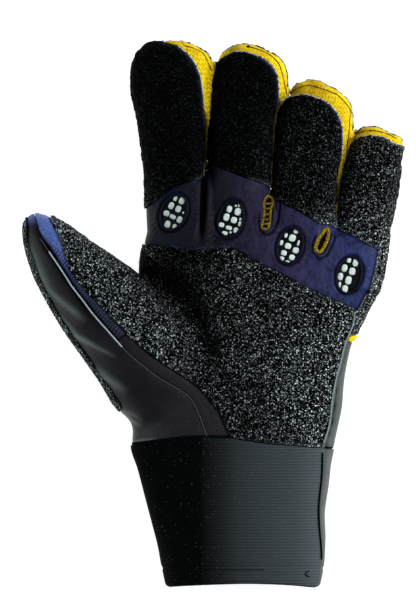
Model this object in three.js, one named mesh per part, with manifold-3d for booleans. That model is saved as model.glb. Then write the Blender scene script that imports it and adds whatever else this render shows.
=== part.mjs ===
// A left-hand shooting glove lying on its back: palm up, fingers to +Y, thumb to -X, on the plane z = 0.
// Every panel is a piece of one hollow shell, cut out along the glove's seams.
// Lengths are in millimetres and angles in degrees.
import * as THREE from "three";
import { mergeVertices } from "three/addons/utils/BufferGeometryUtils.js";
import Module from "manifold-3d";

const wasm = await Module();
wasm.setup();

// Leather and knit thickness, how far the grips stand out of it, and the open seam between two panels.
const WALL = 2;
const GRIP_RELIEF = 0.8;
const CUFF_RELIEF = 0.6;
const INSERT_RECESS = 0.9;
const SEAM = 0.3;

// Rooms that cut the shell run well past it: down, up and to each side.
const DEEP = -30;
const TALL = 90;
const PAST = { left: -110, right: 110, top: 150, bottom: -150 };
const SEAM_MARGIN = 8;
const HOLLOW_OVERRUN = 10;

// Each form's section: its number of sides, how many of them one side of the hollow spans, the power of its
// rounding, its roll and how much wider than high it is before it is rolled.
const SECTIONS = {
  finger: { sides: 10, hollowStep: 1, power: 2.5, roll: 17, aspect: 1.35 },
  hand: { sides: 22, hollowStep: 2, power: 2.5, roll: 0, aspect: 2 },
  thumb: { sides: 14, hollowStep: 2, power: 2.2, roll: 0, aspect: 1 },
};
const TIP_ROWS = 5;
const LEAST_HALF_SIZE = 1;
const WELD = 1e-4;

// Height of the seam between the palm side and the back, and how it climbs under the thumb.
const BACK_SEAM = 12;
const THUMB_SEAM_START = -34.5;
const THUMB_SEAM_CLIMB = 0.26;
const THUMB_SEAM_SPAN = { top: 60, bottom: -80 };
const CUFF_SEAM = 15;

// A shape's rows run along its axis: left and right are its edges across it, low and high its height.
const STRAIGHT = { x: 0, y: 0, lean: 0 };
const THUMB_AXIS = { x: -53.6, y: 4.3, lean: 38 };

// Edge heights above a finger's middle: its grip ends at pad, and its back starts at back.
const PAD_SEAM = { left: -1, right: 5 };
const BACK_FINGER_SEAM = { left: -9, right: 1.5 };

const FINGERS = [
  {
    name: "index",
    crotch: 73.9,
    padSeam: PAD_SEAM,
    rows: [
      { at: 131.4, left: -22.9, right: -15.2, low: 15.0, high: 20.0 },
      { at: 129.8, left: -30.1, right: -10.4, low: 11.0, high: 23.5 },
      { at: 127.7, left: -33.9, right: -6.6, low: 8.0, high: 26.0 },
      { at: 124.3, left: -37.1, right: -2.3, low: 5.0, high: 28.0 },
      { at: 119.5, left: -38.7, right: -0.6, low: 2.5, high: 29.5 },
      { at: 113.3, left: -39.5, right: -1.7, low: 0.8, high: 30.0 },
      { at: 93.1, left: -36.2, right: -3.0, low: -1.0, high: 28.5 },
      { at: 73.9, left: -33.4, right: -4.0, low: -1.0, high: 28.0 },
      { at: 66.2, left: -32.7, right: 0.1, low: -1.0, high: 28.6 },
      { at: 54.7, left: -32.6, right: 3.0, low: -1.0, high: 30.0 },
      { at: 30.7, left: -31.5, right: 4.9, low: 0.0, high: 32.5 },
    ],
  },
  {
    name: "middle",
    crotch: 68,
    padSeam: PAD_SEAM,
    rows: [
      { at: 129.8, left: 11.7, right: 18.4, low: 15.0, high: 20.0 },
      { at: 128.4, left: 8.3, right: 21.7, low: 11.0, high: 23.5 },
      { at: 126.2, left: 4.9, right: 26.5, low: 8.0, high: 26.0 },
      { at: 122.9, left: 2.5, right: 31.8, low: 5.0, high: 28.0 },
      { at: 118.6, left: 1.0, right: 34.5, low: 2.5, high: 29.5 },
      { at: 112.3, left: -0.6, right: 35.5, low: 0.8, high: 30.0 },
      { at: 106.6, left: -1.3, right: 35.0, low: -0.4, high: 29.8 },
      { at: 97.4, left: -1.9, right: 29.8, low: -1.0, high: 29.0 },
      { at: 74.9, left: -2.8, right: 27.4, low: -1.0, high: 28.5 },
      { at: 61.9, left: -6.6, right: 26.9, low: -1.0, high: 29.0 },
      { at: 52.8, left: -8.5, right: 33.7, low: -1.0, high: 30.0 },
      { at: 30.7, left: -7.5, right: 37.6, low: 0.0, high: 32.5 },
    ],
  },
  {
    name: "ring",
    crotch: 55,
    padSeam: PAD_SEAM,
    rows: [
      { at: 112.5, left: 44.3, right: 51.0, low: 15.0, high: 20.0 },
      { at: 110.4, left: 39.9, right: 53.9, low: 11.0, high: 23.5 },
      { at: 108.0, left: 37.6, right: 58.7, low: 8.0, high: 26.0 },
      { at: 105.1, left: 36.4, right: 62.5, low: 5.0, high: 28.0 },
      { at: 101.8, left: 34.2, right: 65.4, low: 2.5, high: 29.5 },
      { at: 97.4, left: 32.0, right: 66.6, low: 0.8, high: 30.0 },
      { at: 90.2, left: 30.6, right: 67.0, low: -0.4, high: 29.5 },
      { at: 78.2, left: 29.5, right: 62.9, low: -1.0, high: 28.5 },
      { at: 61.0, left: 28.2, right: 59.0, low: -1.0, high: 29.0 },
      { at: 52.8, left: 21.7, right: 58.2, low: -1.0, high: 30.0 },
      { at: 33.6, left: 20.3, right: 63.0, low: -1.0, high: 32.0 },
      { at: 22.1, left: 23.2, right: 65.4, low: 0.0, high: 32.5 },
    ],
  },
  {
    name: "little",
    crotch: 43.2,
    // The grip of this finger runs round its outer side to the back.
    padSeam: { left: -1, right: -2 },
    rows: [
      { at: 90.3, left: 72.6, right: 78.9, low: 13.0, high: 17.0 },
      { at: 88.8, left: 69.9, right: 81.7, low: 9.0, high: 20.5 },
      { at: 86.9, left: 68.8, right: 85.1, low: 6.5, high: 23.0 },
      { at: 84.5, left: 68.1, right: 90.4, low: 4.0, high: 25.0 },
      { at: 81.6, left: 66.9, right: 91.2, low: 2.0, high: 26.3 },
      { at: 77.3, left: 65.2, right: 90.1, low: 0.6, high: 27.0 },
      { at: 62.4, left: 61.0, right: 88.8, low: -1.0, high: 26.6 },
      { at: 43.2, left: 57.3, right: 85.1, low: -1.0, high: 27.5 },
      { at: 33.6, left: 49.1, right: 83.2, low: -1.0, high: 29.0 },
      { at: 11.5, left: 47.2, right: 78.9, low: 0.0, high: 31.0 },
    ],
  },
];

const HAND_ROWS = [
  { at: 37.4, left: -32.0, right: 82.9, low: 1.0, high: 30.0 },
  { at: 30.7, left: -33.9, right: 82.7, low: -0.8, high: 33.0 },
  { at: 20.6, left: -35.0, right: 81.3, low: -1.0, high: 34.2 },
  { at: 10.6, left: -34.9, right: 78.2, low: -1.0, high: 35.0 },
  { at: 0.5, left: -34.4, right: 73.1, low: -1.0, high: 35.8 },
  { at: -17.3, left: -33.5, right: 65.2, low: -1.0, high: 37.4 },
  { at: -62.4, left: -39.2, right: 57.5, low: -1.0, high: 42.4 },
  { at: -74.4, left: -35.9, right: 55.3, low: -1.0, high: 43.0 },
  { at: -118.1, left: -24.8, right: 52.5, low: -1.0, high: 46.0 },
  { at: -131.0, left: -22.2, right: 50.5, low: -1.0, high: 46.6 },
];

const THUMB_ROWS = [
  { at: 55.3, left: -4.0, right: 1.5, low: 28.0, high: 33.0 },
  { at: 53.3, left: -6.2, right: 3.2, low: 23.5, high: 37.5 },
  { at: 50.5, left: -8.5, right: 5.4, low: 20.0, high: 41.0 },
  { at: 45.5, left: -11.5, right: 8.0, low: 17.0, high: 44.0 },
  { at: 37.5, left: -14.9, right: 11.0, low: 14.5, high: 46.5 },
  { at: 27.5, left: -17.9, right: 13.7, low: 12.0, high: 48.0 },
  { at: 2.0, left: -21.7, right: 21.6, low: 6.5, high: 49.5 },
  { at: -27.5, left: -23.3, right: 26.0, low: 1.5, high: 48.0 },
  { at: -42.0, left: -25.0, right: 26.0, low: 0.0, high: 45.6 },
  { at: -61.0, left: -21.0, right: 17.0, low: 2.0, high: 37.0 },
];

// Seam lines seen from above, as x and y.
const BAND_TOP = [
  [-46, 40.3], [-19.5, 60.5], [-12.8, 63.4], [-7.1, 64.3], [-4.6, 67], [-3.9, 74.9], [-2, 74.9],
  [-0.9, 71.8], [12.9, 66.2], [27.5, 61],
  [29.9, 54.5], [42.4, 48.5], [50.5, 43.2], [56.5, 42.2], [78.4, 30.9],
];
const BAND_BOTTOM = [
  [-46, 33.8], [-33.9, 33.6], [-11.4, 31.2], [9.3, 31.7], [42.4, 13.9], [68.8, 2.2],
];
const BAND_RIGHT = [[78.4, 30.9], [74.5, 13.4], [68.8, 2.2]];
const SIDE_GRIP_INNER = [[68.8, 2.2], [66.8, -5.8], [65.2, -10.1]];
const TAB_SIDE = [[65.2, -10.1], [63.8, -13.2]];
const TAB_TOP = [[65.2, -10.1], [PAST.right, -10.1]];
const TAB_BOTTOM = [[63.8, -13.2], [PAST.right, -13.2]];
const GRIP_RIGHT = [[63.8, -13.2], [58.7, -31.2], [55.8, -50.9], [52.5, -64.3]];
const GRIP_LEFT_UPPER = [
  [-80.5, 54.7], [-77.6, 46.3], [-73.6, 37.4], [-70.3, 25.7], [-67.8, 19.7], [-62.4, 12], [-55.6, 5.4],
  [-42.1, -9.6],
];
const GRIP_LEFT_LOWER = [[-42.1, -9.6], [-31.1, -19.2], [-7.1, -35.5], [2.5, -47], [7.8, -59.3]];
const PIPING_UPPER = [[-88.2, 54.7], [-83.4, 39.4], [-72.3, 19.2], [-46.4, -13]];
const PIPING_LOWER = [[-46.4, -13], [-34.4, -24.5], [-11.4, -40.3], [-7.8, -46.6], [-3.2, -59.1]];
const BLUE_END = [[-42.1, -9.6], [-46.4, -13.0]];
const BACK_GRIP_EDGE = [
  [-90.1, 54.7], [-88.9, 33.1], [-82.9, 15.8], [-72.8, -2.4], [-46.4, -40.6], [-43.6, -45.4], [-48, -49.8],
];
const CUFF_LEFT = [[-60, -63.4], [-39.7, -62.9], [-14.3, -59.5], [-3.2, -59.1]];
const CUFF_MIDDLE = [[-3.2, -59.1], [7.8, -59.3]];
const CUFF_RIGHT_TOP = [[7.8, -59.3], [24.1, -61.9], [52.5, -64.3]];
const CUFF_FAR_RIGHT = [[52.5, -64.3], [100, -64.8]];
const ELASTIC_EDGE = [[52.5, -64.3], [50.1, -89.3], [50.2, -118.6], [47.5, -140]];
// Where neighbouring fingers part, from the knuckles past the tips.
const INDEX_MIDDLE = [[-1.3, 31], [-3.4, 74.9], [-1.6, 106], [3, 140]];
const MIDDLE_RING = [
  [30, 22], [27.6, 61], [28.2, 71.5], [30.9, 97.4], [36, 106.6], [37.1, 112.3], [39.5, 140],
];
const RING_LITTLE = [[56.3, 11.5], [56.8, 42.2], [61.9, 70.1], [67.7, 85.9], [75, 140]];
// Each grip's edge along the finger's right side and tip; past the left side it hangs over the edge.
const PAD_EDGES = {
  index: [
    [-60, 137], [-26, 134], [-24.3, 131], [-15.2, 127.2], [-9.7, 120.7], [-6.6, 113.8], [-5.1, 108],
    [-4.2, 97], [-3.9, 76.3], [-8, 40], [-60, 30],
  ],
  middle: [
    [-20, 117], [-0.8, 117.2], [1.7, 121.1], [5.2, 123.7], [10.5, 126], [15.1, 125.8], [19.2, 124.6],
    [25.1, 121.6], [29, 117.4], [30.8, 112.3], [31.3, 105], [29.6, 94], [40, 60], [40, 30], [-20, 30],
  ],
  ring: [
    [10, 97], [30.4, 97.4], [33.7, 102.2], [37.1, 104.2], [42.4, 105.1], [54.9, 100.8], [58.7, 96.5],
    [60.9, 91.7], [61.6, 86.4], [60.1, 76.3], [61.5, 70], [62, 20], [10, 20],
  ],
  little: [
    [50, 77], [63.5, 77.3], [65.4, 81.6], [67.8, 84], [71.7, 85.9], [75, 86.4], [82.7, 85], [86.1, 82.1],
    [90, 81.1], [110, 80], [110, -20], [50, -20],
  ],
};

const WINDOW = { length: 19.2, width: 13.6, sides: 12 };
const WINDOWS = [
  { name: "index", x: -19.1, y: 48.7, tilt: 25 },
  { name: "middle", x: 8.3, y: 45.6, tilt: 15 },
  { name: "ring", x: 36.6, y: 32.6, tilt: 15 },
  { name: "little", x: 64.9, y: 18.7, tilt: 12 },
];
const DOT = { radius: 1.55, pitch: 3.8, sides: 6, inside: 0.82, sunk: 0.1 };
const SLOTS = [
  { name: "middle", x: 25.9, y: 49.7, tilt: 6, length: 18.5, width: 5, sides: 10 },
  { name: "ring", x: 52.3, y: 34.6, tilt: 16, length: 13.5, width: 6, sides: 10 },
];

const LOOKS = {
  grip_rubber: { color: 0x14171a, roughness: 0.6, metalness: 0 },
  navy_leather: { color: 0x2c2c5c, roughness: 0.4, metalness: 0 },
  blue_leather: { color: 0x4a66b8, roughness: 0.45, metalness: 0 },
  black_leather: { color: 0x1e1c21, roughness: 0.4, metalness: 0 },
  grey_leather: { color: 0x697474, roughness: 0.5, metalness: 0 },
  yellow_knit: { color: 0xf0cc10, roughness: 0.85, metalness: 0 },
  elastic: { color: 0x17191c, roughness: 0.9, metalness: 0 },
  dot_insert: { color: 0xc8d4d4, roughness: 0.6, metalness: 0 },
};

const radians = THREE.MathUtils.degToRad;

// Turns a closed geometry into a solid.
function solidOf(geometry) {
  const bare = geometry.clone();
  bare.deleteAttribute("normal");
  bare.deleteAttribute("uv");
  const merged = mergeVertices(bare, WELD);
  const vertProperties = new Float32Array(merged.attributes.position.array);
  const triVerts = new Uint32Array(merged.index.array);
  return new wasm.Manifold(new wasm.Mesh({ numProp: 3, vertProperties, triVerts }));
}

// Skins a row of rings that have equal numbers of points, the first ring at the far end, and closes both ends.
function skin(rings) {
  const count = rings[0].length;
  const indices = [];
  for (let row = 0; row + 1 < rings.length; row++) {
    for (let i = 0; i < count; i++) {
      const next = (i + 1) % count;
      const a = row * count + i;
      const b = row * count + next;
      const c = (row + 1) * count + next;
      const d = (row + 1) * count + i;
      indices.push(a, b, c, a, c, d);
    }
  }
  const last = (rings.length - 1) * count;
  for (let i = 1; i + 1 < count; i++) {
    indices.push(0, i + 1, i);
    indices.push(last, last + i, last + i + 1);
  }
  const geometry = new THREE.BufferGeometry().setFromPoints(rings.flat());
  geometry.setIndex(indices);
  return solidOf(geometry);
}

function place(axis, at, across, z) {
  const lean = radians(axis.lean);
  const x = axis.x + across * Math.cos(lean) - at * Math.sin(lean);
  const y = axis.y + across * Math.sin(lean) + at * Math.cos(lean);
  return new THREE.Vector3(x, y, z);
}

// A rounded section that fills -1 to 1 both ways once it is rolled.
function unitSection({ sides, power, roll, aspect }) {
  const turn = radians(roll);
  const points = [];
  for (let i = 0; i < sides; i++) {
    const angle = (2 * Math.PI * (i + 0.5)) / sides;
    const c = Math.cos(angle);
    const s = Math.sin(angle);
    const x = Math.sign(c) * Math.abs(c) ** (2 / power) * aspect;
    const z = Math.sign(s) * Math.abs(s) ** (2 / power);
    points.push([x * Math.cos(turn) - z * Math.sin(turn), x * Math.sin(turn) + z * Math.cos(turn)]);
  }
  const reach = [0, 1].map((side) => Math.max(...points.map((p) => Math.abs(p[side]))));
  return points.map((p) => [p[0] / reach[0], p[1] / reach[1]]);
}

// Lofts the rows of a form, each side moved in by inset, and its closed tip drawn in as far.
function loft(form, inset, step = 1) {
  const section = unitSection(form.section).filter((point, i) => i % step === 0);
  const tip = form.rows[0].at;
  const base = form.rows[form.rows.length - 1].at;
  const shrink = form.openTip ? 1 : (tip - base - inset) / (tip - base);
  const rings = form.rows.map((row) => {
    const at = base + (row.at - base) * shrink;
    const halfWidth = Math.max((row.right - row.left) / 2 - inset, LEAST_HALF_SIZE);
    const halfHeight = Math.max((row.high - row.low) / 2 - inset, LEAST_HALF_SIZE);
    const across = (row.left + row.right) / 2;
    const z = (row.low + row.high) / 2;
    return section.map((p) => place(form.axis, at, across + p[0] * halfWidth, z + p[1] * halfHeight));
  });
  return skin(rings);
}

function prism(points, low = DEEP, high = TALL) {
  const shape = new THREE.Shape(points.map((p) => new THREE.Vector2(p[0], p[1])));
  const geometry = new THREE.ExtrudeGeometry(shape, { depth: high - low, bevelEnabled: false });
  return solidOf(geometry.translate(0, 0, low));
}

// A thin upright wall along a line, which opens a seam of that width.
function seamCut(points, width = SEAM) {
  const side = (i, sign) => {
    const before = points[Math.max(i - 1, 0)];
    const after = points[Math.min(i + 1, points.length - 1)];
    const along = new THREE.Vector2(after[0] - before[0], after[1] - before[1]).normalize();
    return [points[i][0] - along.y * sign * width * 0.5, points[i][1] + along.x * sign * width * 0.5];
  };
  const left = points.map((p, i) => side(i, 1));
  const right = points.map((p, i) => side(i, -1)).reverse();
  return prism([...left, ...right]);
}

// An oval seen from above, its top leaning right by tilt.
function oval(spot, length, width, sides) {
  const tilt = radians(spot.tilt);
  return Array.from({ length: sides }, (unused, i) => {
    const angle = (2 * Math.PI * i) / sides;
    const across = (Math.cos(angle) * width) / 2;
    const along = (Math.sin(angle) * length) / 2;
    return [
      spot.x + across * Math.cos(tilt) + along * Math.sin(tilt),
      spot.y - across * Math.sin(tilt) + along * Math.cos(tilt),
    ];
  });
}

// Everything under a surface that joins one upright line after another, each from left to right.
function under(lines) {
  const rings = lines.map((line) => [
    new THREE.Vector3(line.right, line.y, line.rightHeight),
    new THREE.Vector3(line.left, line.y, line.leftHeight),
    new THREE.Vector3(line.left, line.y, DEEP),
    new THREE.Vector3(line.right, line.y, DEEP),
  ]);
  return skin(rings);
}

// Everything under one of a finger's seams, which fades into the hand's back seam at the knuckles.
function underFinger(finger, seam, rise) {
  const base = finger.rows[finger.rows.length - 1].at;
  const margin = SEAM_MARGIN;
  const lines = finger.rows.map((row) => {
    const middle = (row.low + row.high) / 2;
    const width = row.right - row.left;
    const slope = (seam.right - seam.left) / width;
    const fade = THREE.MathUtils.clamp((row.at - base) / (finger.crotch - base), 0, 1);
    const blend = (height) => fade * height + (1 - fade) * BACK_SEAM + rise;
    return {
      y: row.at,
      left: row.left - margin,
      right: row.right + margin,
      leftHeight: blend(middle + seam.left - slope * margin),
      rightHeight: blend(middle + seam.right + slope * margin),
    };
  });
  const last = lines[lines.length - 1];
  return under([{ ...lines[0], y: lines[0].y + margin }, ...lines, { ...last, y: last.y - 2 * margin }]);
}

function union(solids) {
  return solids.reduce((sum, solid) => sum.add(solid));
}

function cut(solid, tools) {
  return tools.reduce((rest, tool) => rest.subtract(tool), solid);
}

function reversed(points) {
  return [...points].reverse();
}

const handForm = { axis: STRAIGHT, rows: HAND_ROWS, section: SECTIONS.hand, openTip: true };
const thumbForm = { axis: THUMB_AXIS, rows: THUMB_ROWS, section: SECTIONS.thumb };
const fingerForms = FINGERS.map(({ rows }) => ({ axis: STRAIGHT, rows, section: SECTIONS.finger }));

// Everything under a height.
function floorCut(height) {
  const corners = [
    [PAST.left, PAST.bottom], [PAST.right, PAST.bottom], [PAST.right, PAST.top], [PAST.left, PAST.top],
  ];
  return prism(corners, DEEP, height);
}

// The slits that keep neighbouring fingers apart above the webs.
const slits = [INDEX_MIDDLE, MIDDLE_RING, RING_LITTLE].map((line) => seamCut(line.slice(1)));

// The whole outside, moved in by inset, and the matching inside.
function gloveBody(inset) {
  const fingers = fingerForms.map((form) => loft(form, inset));
  const whole = union([loft(handForm, inset), loft(thumbForm, inset), ...fingers]);
  return cut(whole, [floorCut(0), ...slits]);
}

// The same form with every second row of its tip.
function plainTip(form) {
  return { ...form, rows: form.rows.filter((row, i) => i % 2 === 0 || i > TIP_ROWS) };
}

function gloveHollow() {
  const last = HAND_ROWS[HAND_ROWS.length - 1];
  const openRows = [...HAND_ROWS, { ...last, at: last.at - HOLLOW_OVERRUN }];
  const hand = loft({ ...handForm, rows: openRows }, WALL, SECTIONS.hand.hollowStep);
  const fingers = fingerForms.map((form) => loft(plainTip(form), WALL, SECTIONS.finger.hollowStep));
  const thumb = loft(plainTip(thumbForm), WALL, SECTIONS.thumb.hollowStep);
  return union([hand, thumb, ...fingers]).subtract(floorCut(WALL));
}

const hollow = gloveHollow();
const body = gloveBody(0);
const proudBody = gloveBody(-GRIP_RELIEF);
const recessedBody = gloveBody(INSERT_RECESS);
const dotBody = gloveBody(DOT.sunk);
const cuffBody = gloveBody(-CUFF_RELIEF);

// The room above each finger's knuckle line, between its neighbours.
const KNUCKLES = { left: [-46, 31], right: [PAST.right, 11.5] };
const zoneOutlines = {
  index: [[KNUCKLES.left[0], 140], KNUCKLES.left, ...INDEX_MIDDLE],
  middle: [...reversed(INDEX_MIDDLE), ...MIDDLE_RING],
  ring: [...reversed(MIDDLE_RING), ...RING_LITTLE],
  little: [...reversed(RING_LITTLE), KNUCKLES.right, [PAST.right, 140]],
};
const KNUCKLE_LINE = [KNUCKLES.left, INDEX_MIDDLE[0], MIDDLE_RING[0], RING_LITTLE[0], KNUCKLES.right];
// A back seam's room laps a little over these edges into the next zone's.
const zoneEdges = {
  index: [KNUCKLE_LINE, INDEX_MIDDLE],
  middle: [KNUCKLE_LINE, INDEX_MIDDLE, MIDDLE_RING],
  ring: [KNUCKLE_LINE, MIDDLE_RING, RING_LITTLE],
  little: [KNUCKLE_LINE, RING_LITTLE],
};
const zones = {};
for (const finger of FINGERS) zones[finger.name] = prism(zoneOutlines[finger.name]);
const allZones = union(Object.values(zones));

// All that lies below the back seam, moved up by rise.
function backRoom(rise) {
  const flat = floorCut(BACK_SEAM + rise).subtract(allZones);
  const thumbLine = {
    left: PAST.left,
    right: THUMB_SEAM_START,
    leftHeight: BACK_SEAM + rise + THUMB_SEAM_CLIMB * (THUMB_SEAM_START - PAST.left),
    rightHeight: BACK_SEAM + rise,
  };
  const ends = [THUMB_SEAM_SPAN.top, THUMB_SEAM_SPAN.bottom];
  const thumb = under(ends.map((y) => ({ ...thumbLine, y })));
  const fingers = FINGERS.map((finger) => {
    const edges = zoneEdges[finger.name].map((line) => seamCut(line));
    return underFinger(finger, BACK_FINGER_SEAM, rise).intersect(union([zones[finger.name], ...edges]));
  });
  return union([flat, thumb, ...fingers]);
}

const seams = [
  BAND_TOP, BAND_BOTTOM, BAND_RIGHT, SIDE_GRIP_INNER, TAB_SIDE, GRIP_RIGHT, GRIP_LEFT_UPPER,
  GRIP_LEFT_LOWER, PIPING_UPPER, PIPING_LOWER, BLUE_END, BACK_GRIP_EDGE, CUFF_LEFT, CUFF_MIDDLE,
  CUFF_RIGHT_TOP, CUFF_FAR_RIGHT, TAB_TOP, TAB_BOTTOM,
].map((line) => seamCut(line));

const aboveBack = backRoom(SEAM / 2);
const cuffTop = [...CUFF_LEFT, ...CUFF_MIDDLE.slice(1), ...CUFF_RIGHT_TOP.slice(1), ...CUFF_FAR_RIGHT.slice(1)];
const cuffRoom = prism([...cuffTop, [PAST.right, PAST.bottom], [PAST.left, PAST.bottom]]);
const aboveBand = [[PAST.right, 30.9], [PAST.right, PAST.top], [BAND_TOP[0][0], PAST.top]];
const bandTopRoom = prism([...BAND_TOP, ...aboveBand]);

// A palm-side panel: the part of a body's wall over its outline, above the back seam, with its seams opened.
function palmPanel(from, outline) {
  return cut(from.intersect(prism(outline)), [aboveBack, hollow, ...seams]);
}

const palmOutline = [
  ...BAND_BOTTOM, ...SIDE_GRIP_INNER.slice(1), ...TAB_SIDE.slice(1), ...GRIP_RIGHT.slice(1),
  ...reversed(CUFF_RIGHT_TOP).slice(1), ...reversed(GRIP_LEFT_LOWER).slice(1),
  ...reversed(GRIP_LEFT_UPPER).slice(1), [-50, 54.7],
];
const heelOutline = [
  ...GRIP_LEFT_LOWER, ...reversed(CUFF_MIDDLE).slice(1), ...reversed(PIPING_LOWER).slice(1),
];
const thumbTipOutline = [...GRIP_LEFT_UPPER, ...BLUE_END.slice(1), ...reversed(PIPING_UPPER).slice(1)];
const thumbSideOutline = [
  ...PIPING_UPPER, ...PIPING_LOWER.slice(1), ...reversed(CUFF_LEFT).slice(1), ...reversed(BACK_GRIP_EDGE),
];
const thumbBackOutline = [...BACK_GRIP_EDGE, [-70, -49.8], [PAST.left, 0], [PAST.left, 54.7]];
const sideGripOutline = [
  [PAST.right, 31], TAB_TOP[1], ...reversed(SIDE_GRIP_INNER), ...reversed(BAND_RIGHT).slice(1), [78.4, 31],
];
const bandOutline = [...BAND_TOP, ...BAND_RIGHT.slice(1), ...reversed(BAND_BOTTOM).slice(1)];
const tabOutline = [TAB_TOP[1], ...TAB_SIDE, TAB_BOTTOM[1]];
const wrapOutline = [TAB_BOTTOM[1], ...GRIP_RIGHT, [PAST.right, -64.8]];

const windowHoles = WINDOWS.map((spot) => prism(oval(spot, WINDOW.length, WINDOW.width, WINDOW.sides)));
const slotHoles = SLOTS.map((spot) => prism(oval(spot, spot.length, spot.width, spot.sides)));

function makeBand() {
  return cut(palmPanel(body, bandOutline), [...windowHoles, ...slotHoles]);
}

// Spots of a loose honeycomb inside a window, in its own length and width directions.
function dotSpots(spot) {
  const spots = [];
  const rowPitch = DOT.pitch * Math.sin(radians(60));
  const rows = Math.ceil(WINDOW.length / rowPitch / 2);
  const columns = Math.ceil(WINDOW.width / DOT.pitch / 2);
  for (let row = -rows; row <= rows; row++) {
    for (let column = -columns; column <= columns; column++) {
      const along = row * rowPitch;
      const across = (column + (Math.abs(row) % 2 ? 0.5 : 0)) * DOT.pitch;
      const reach = Math.hypot((2 * along) / WINDOW.length, (2 * across) / WINDOW.width);
      if (reach > DOT.inside) continue;
      const tilt = radians(spot.tilt);
      const x = spot.x + across * Math.cos(tilt) + along * Math.sin(tilt);
      const y = spot.y - across * Math.sin(tilt) + along * Math.cos(tilt);
      spots.push({ x, y, tilt: spot.tilt });
    }
  }
  return spots;
}

// A window's insert: a plate below the band's face, with dots up to it.
function makeInsert(spot) {
  const outline = oval(spot, WINDOW.length - 2 * SEAM, WINDOW.width - 2 * SEAM, WINDOW.sides);
  const plate = recessedBody.intersect(prism(outline));
  const dots = dotSpots(spot).map((dot) => prism(oval(dot, 2 * DOT.radius, 2 * DOT.radius, DOT.sides)));
  return cut(plate.add(dotBody.intersect(union(dots))), [aboveBack, hollow]);
}

function makeGussetEnd(spot) {
  const outline = oval(spot, spot.length - 2 * SEAM, spot.width - 2 * SEAM, spot.sides);
  return cut(recessedBody.intersect(prism(outline)), [aboveBack, hollow]);
}

// The room that a finger's grip takes, from its edge down to its lower seam.
function padRoom(finger, rise) {
  const above = prism(PAD_EDGES[finger.name]).subtract(underFinger(finger, finger.padSeam, rise));
  return above.intersect(zones[finger.name]).intersect(bandTopRoom);
}

function padCut(finger) {
  return seamCut(PAD_EDGES[finger.name]).subtract(underFinger(finger, finger.padSeam, -SEAM / 2));
}

function makeGrip(finger) {
  const side = prism(sideGripOutline);
  const room = finger.name === "little" ? padRoom(finger, SEAM / 2).add(side) : padRoom(finger, SEAM / 2);
  return cut(proudBody.intersect(room), [aboveBack, hollow, padCut(finger), ...seams]);
}

function makeGusset(finger) {
  const ring = body.intersect(zones[finger.name]).intersect(bandTopRoom);
  return cut(ring, [padRoom(finger, -SEAM / 2), aboveBack, hollow, padCut(finger), ...seams]);
}

// The back, which comes up round the outer side of the wrist.
function makeBack() {
  const lowRoom = backRoom(-SEAM / 2);
  const wrap = cut(prism(wrapOutline), [seamCut(GRIP_RIGHT), seamCut(TAB_BOTTOM)]);
  return cut(body.intersect(lowRoom.add(wrap)), [hollow, cuffRoom, seamCut(cuffTop)]);
}

function makeCuff(name) {
  const elasticRoom = prism([[-60, -40], ...ELASTIC_EDGE, [-60, -140]], CUFF_SEAM);
  const whole = cut(cuffBody.intersect(cuffRoom), [hollow, seamCut(cuffTop)]);
  if (name === "cuff_elastic") return whole.intersect(elasticRoom).subtract(floorCut(CUFF_SEAM + SEAM));
  return cut(whole, [elasticRoom, seamCut(ELASTIC_EDGE).subtract(floorCut(CUFF_SEAM))]);
}

// Keeps a panel's main body, without the slivers that cutting a shell leaves.
function mainBody(solid) {
  return solid.decompose().sort((a, b) => b.volume() - a.volume())[0];
}

const glove = new THREE.Group();

function addPiece(name, slot, solid) {
  const made = mainBody(solid).getMesh();
  const geometry = new THREE.BufferGeometry();
  geometry.setAttribute("position", new THREE.BufferAttribute(made.vertProperties, 3));
  geometry.setIndex(new THREE.BufferAttribute(made.triVerts, 1));
  geometry.computeVertexNormals();
  const mesh = new THREE.Mesh(geometry, new THREE.MeshStandardMaterial(LOOKS[slot]));
  mesh.name = name;
  glove.add(mesh);
}

for (const finger of FINGERS) {
  addPiece("grip_" + finger.name, "grip_rubber", makeGrip(finger));
  addPiece("gusset_" + finger.name, "yellow_knit", makeGusset(finger));
}
addPiece("finger_band", "navy_leather", makeBand());
for (const spot of WINDOWS) addPiece("window_insert_" + spot.name, "dot_insert", makeInsert(spot));
for (const spot of SLOTS) addPiece("gusset_end_" + spot.name, "yellow_knit", makeGussetEnd(spot));
addPiece("palm_grip", "grip_rubber", palmPanel(proudBody, palmOutline));
addPiece("heel_strip", "black_leather", palmPanel(body, heelOutline));
addPiece("thumb_tip", "blue_leather", palmPanel(body, thumbTipOutline));
addPiece("thumb_side", "black_leather", palmPanel(body, thumbSideOutline));
addPiece("thumb_back_grip", "grip_rubber", palmPanel(proudBody, thumbBackOutline));
addPiece("side_tab", "yellow_knit", palmPanel(body, tabOutline));
addPiece("back_panel", "grey_leather", makeBack());
addPiece("cuff_elastic", "elastic", makeCuff("cuff_elastic"));
addPiece("cuff_back", "grey_leather", makeCuff("cuff_back"));

// The origin is the middle of the underside.
const bounds = new THREE.Box3().setFromObject(glove);
const centre = bounds.getCenter(new THREE.Vector3());
glove.position.set(-centre.x, -centre.y, -bounds.min.z);

export default glove;
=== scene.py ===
"""The looks of a left-hand shooting glove that lies on its back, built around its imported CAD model.

Shapes are worked out in millimetres, on a table whose origin is TABLE_SHIFT from the model's.
Places on the glove that were measured from above are given in picture pixels and turned by spot().
"""

import itertools
import math

import bmesh
import bpy
import numpy as np
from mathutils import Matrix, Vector
from mathutils.bvhtree import BVHTree
from mathutils.kdtree import KDTree


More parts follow.
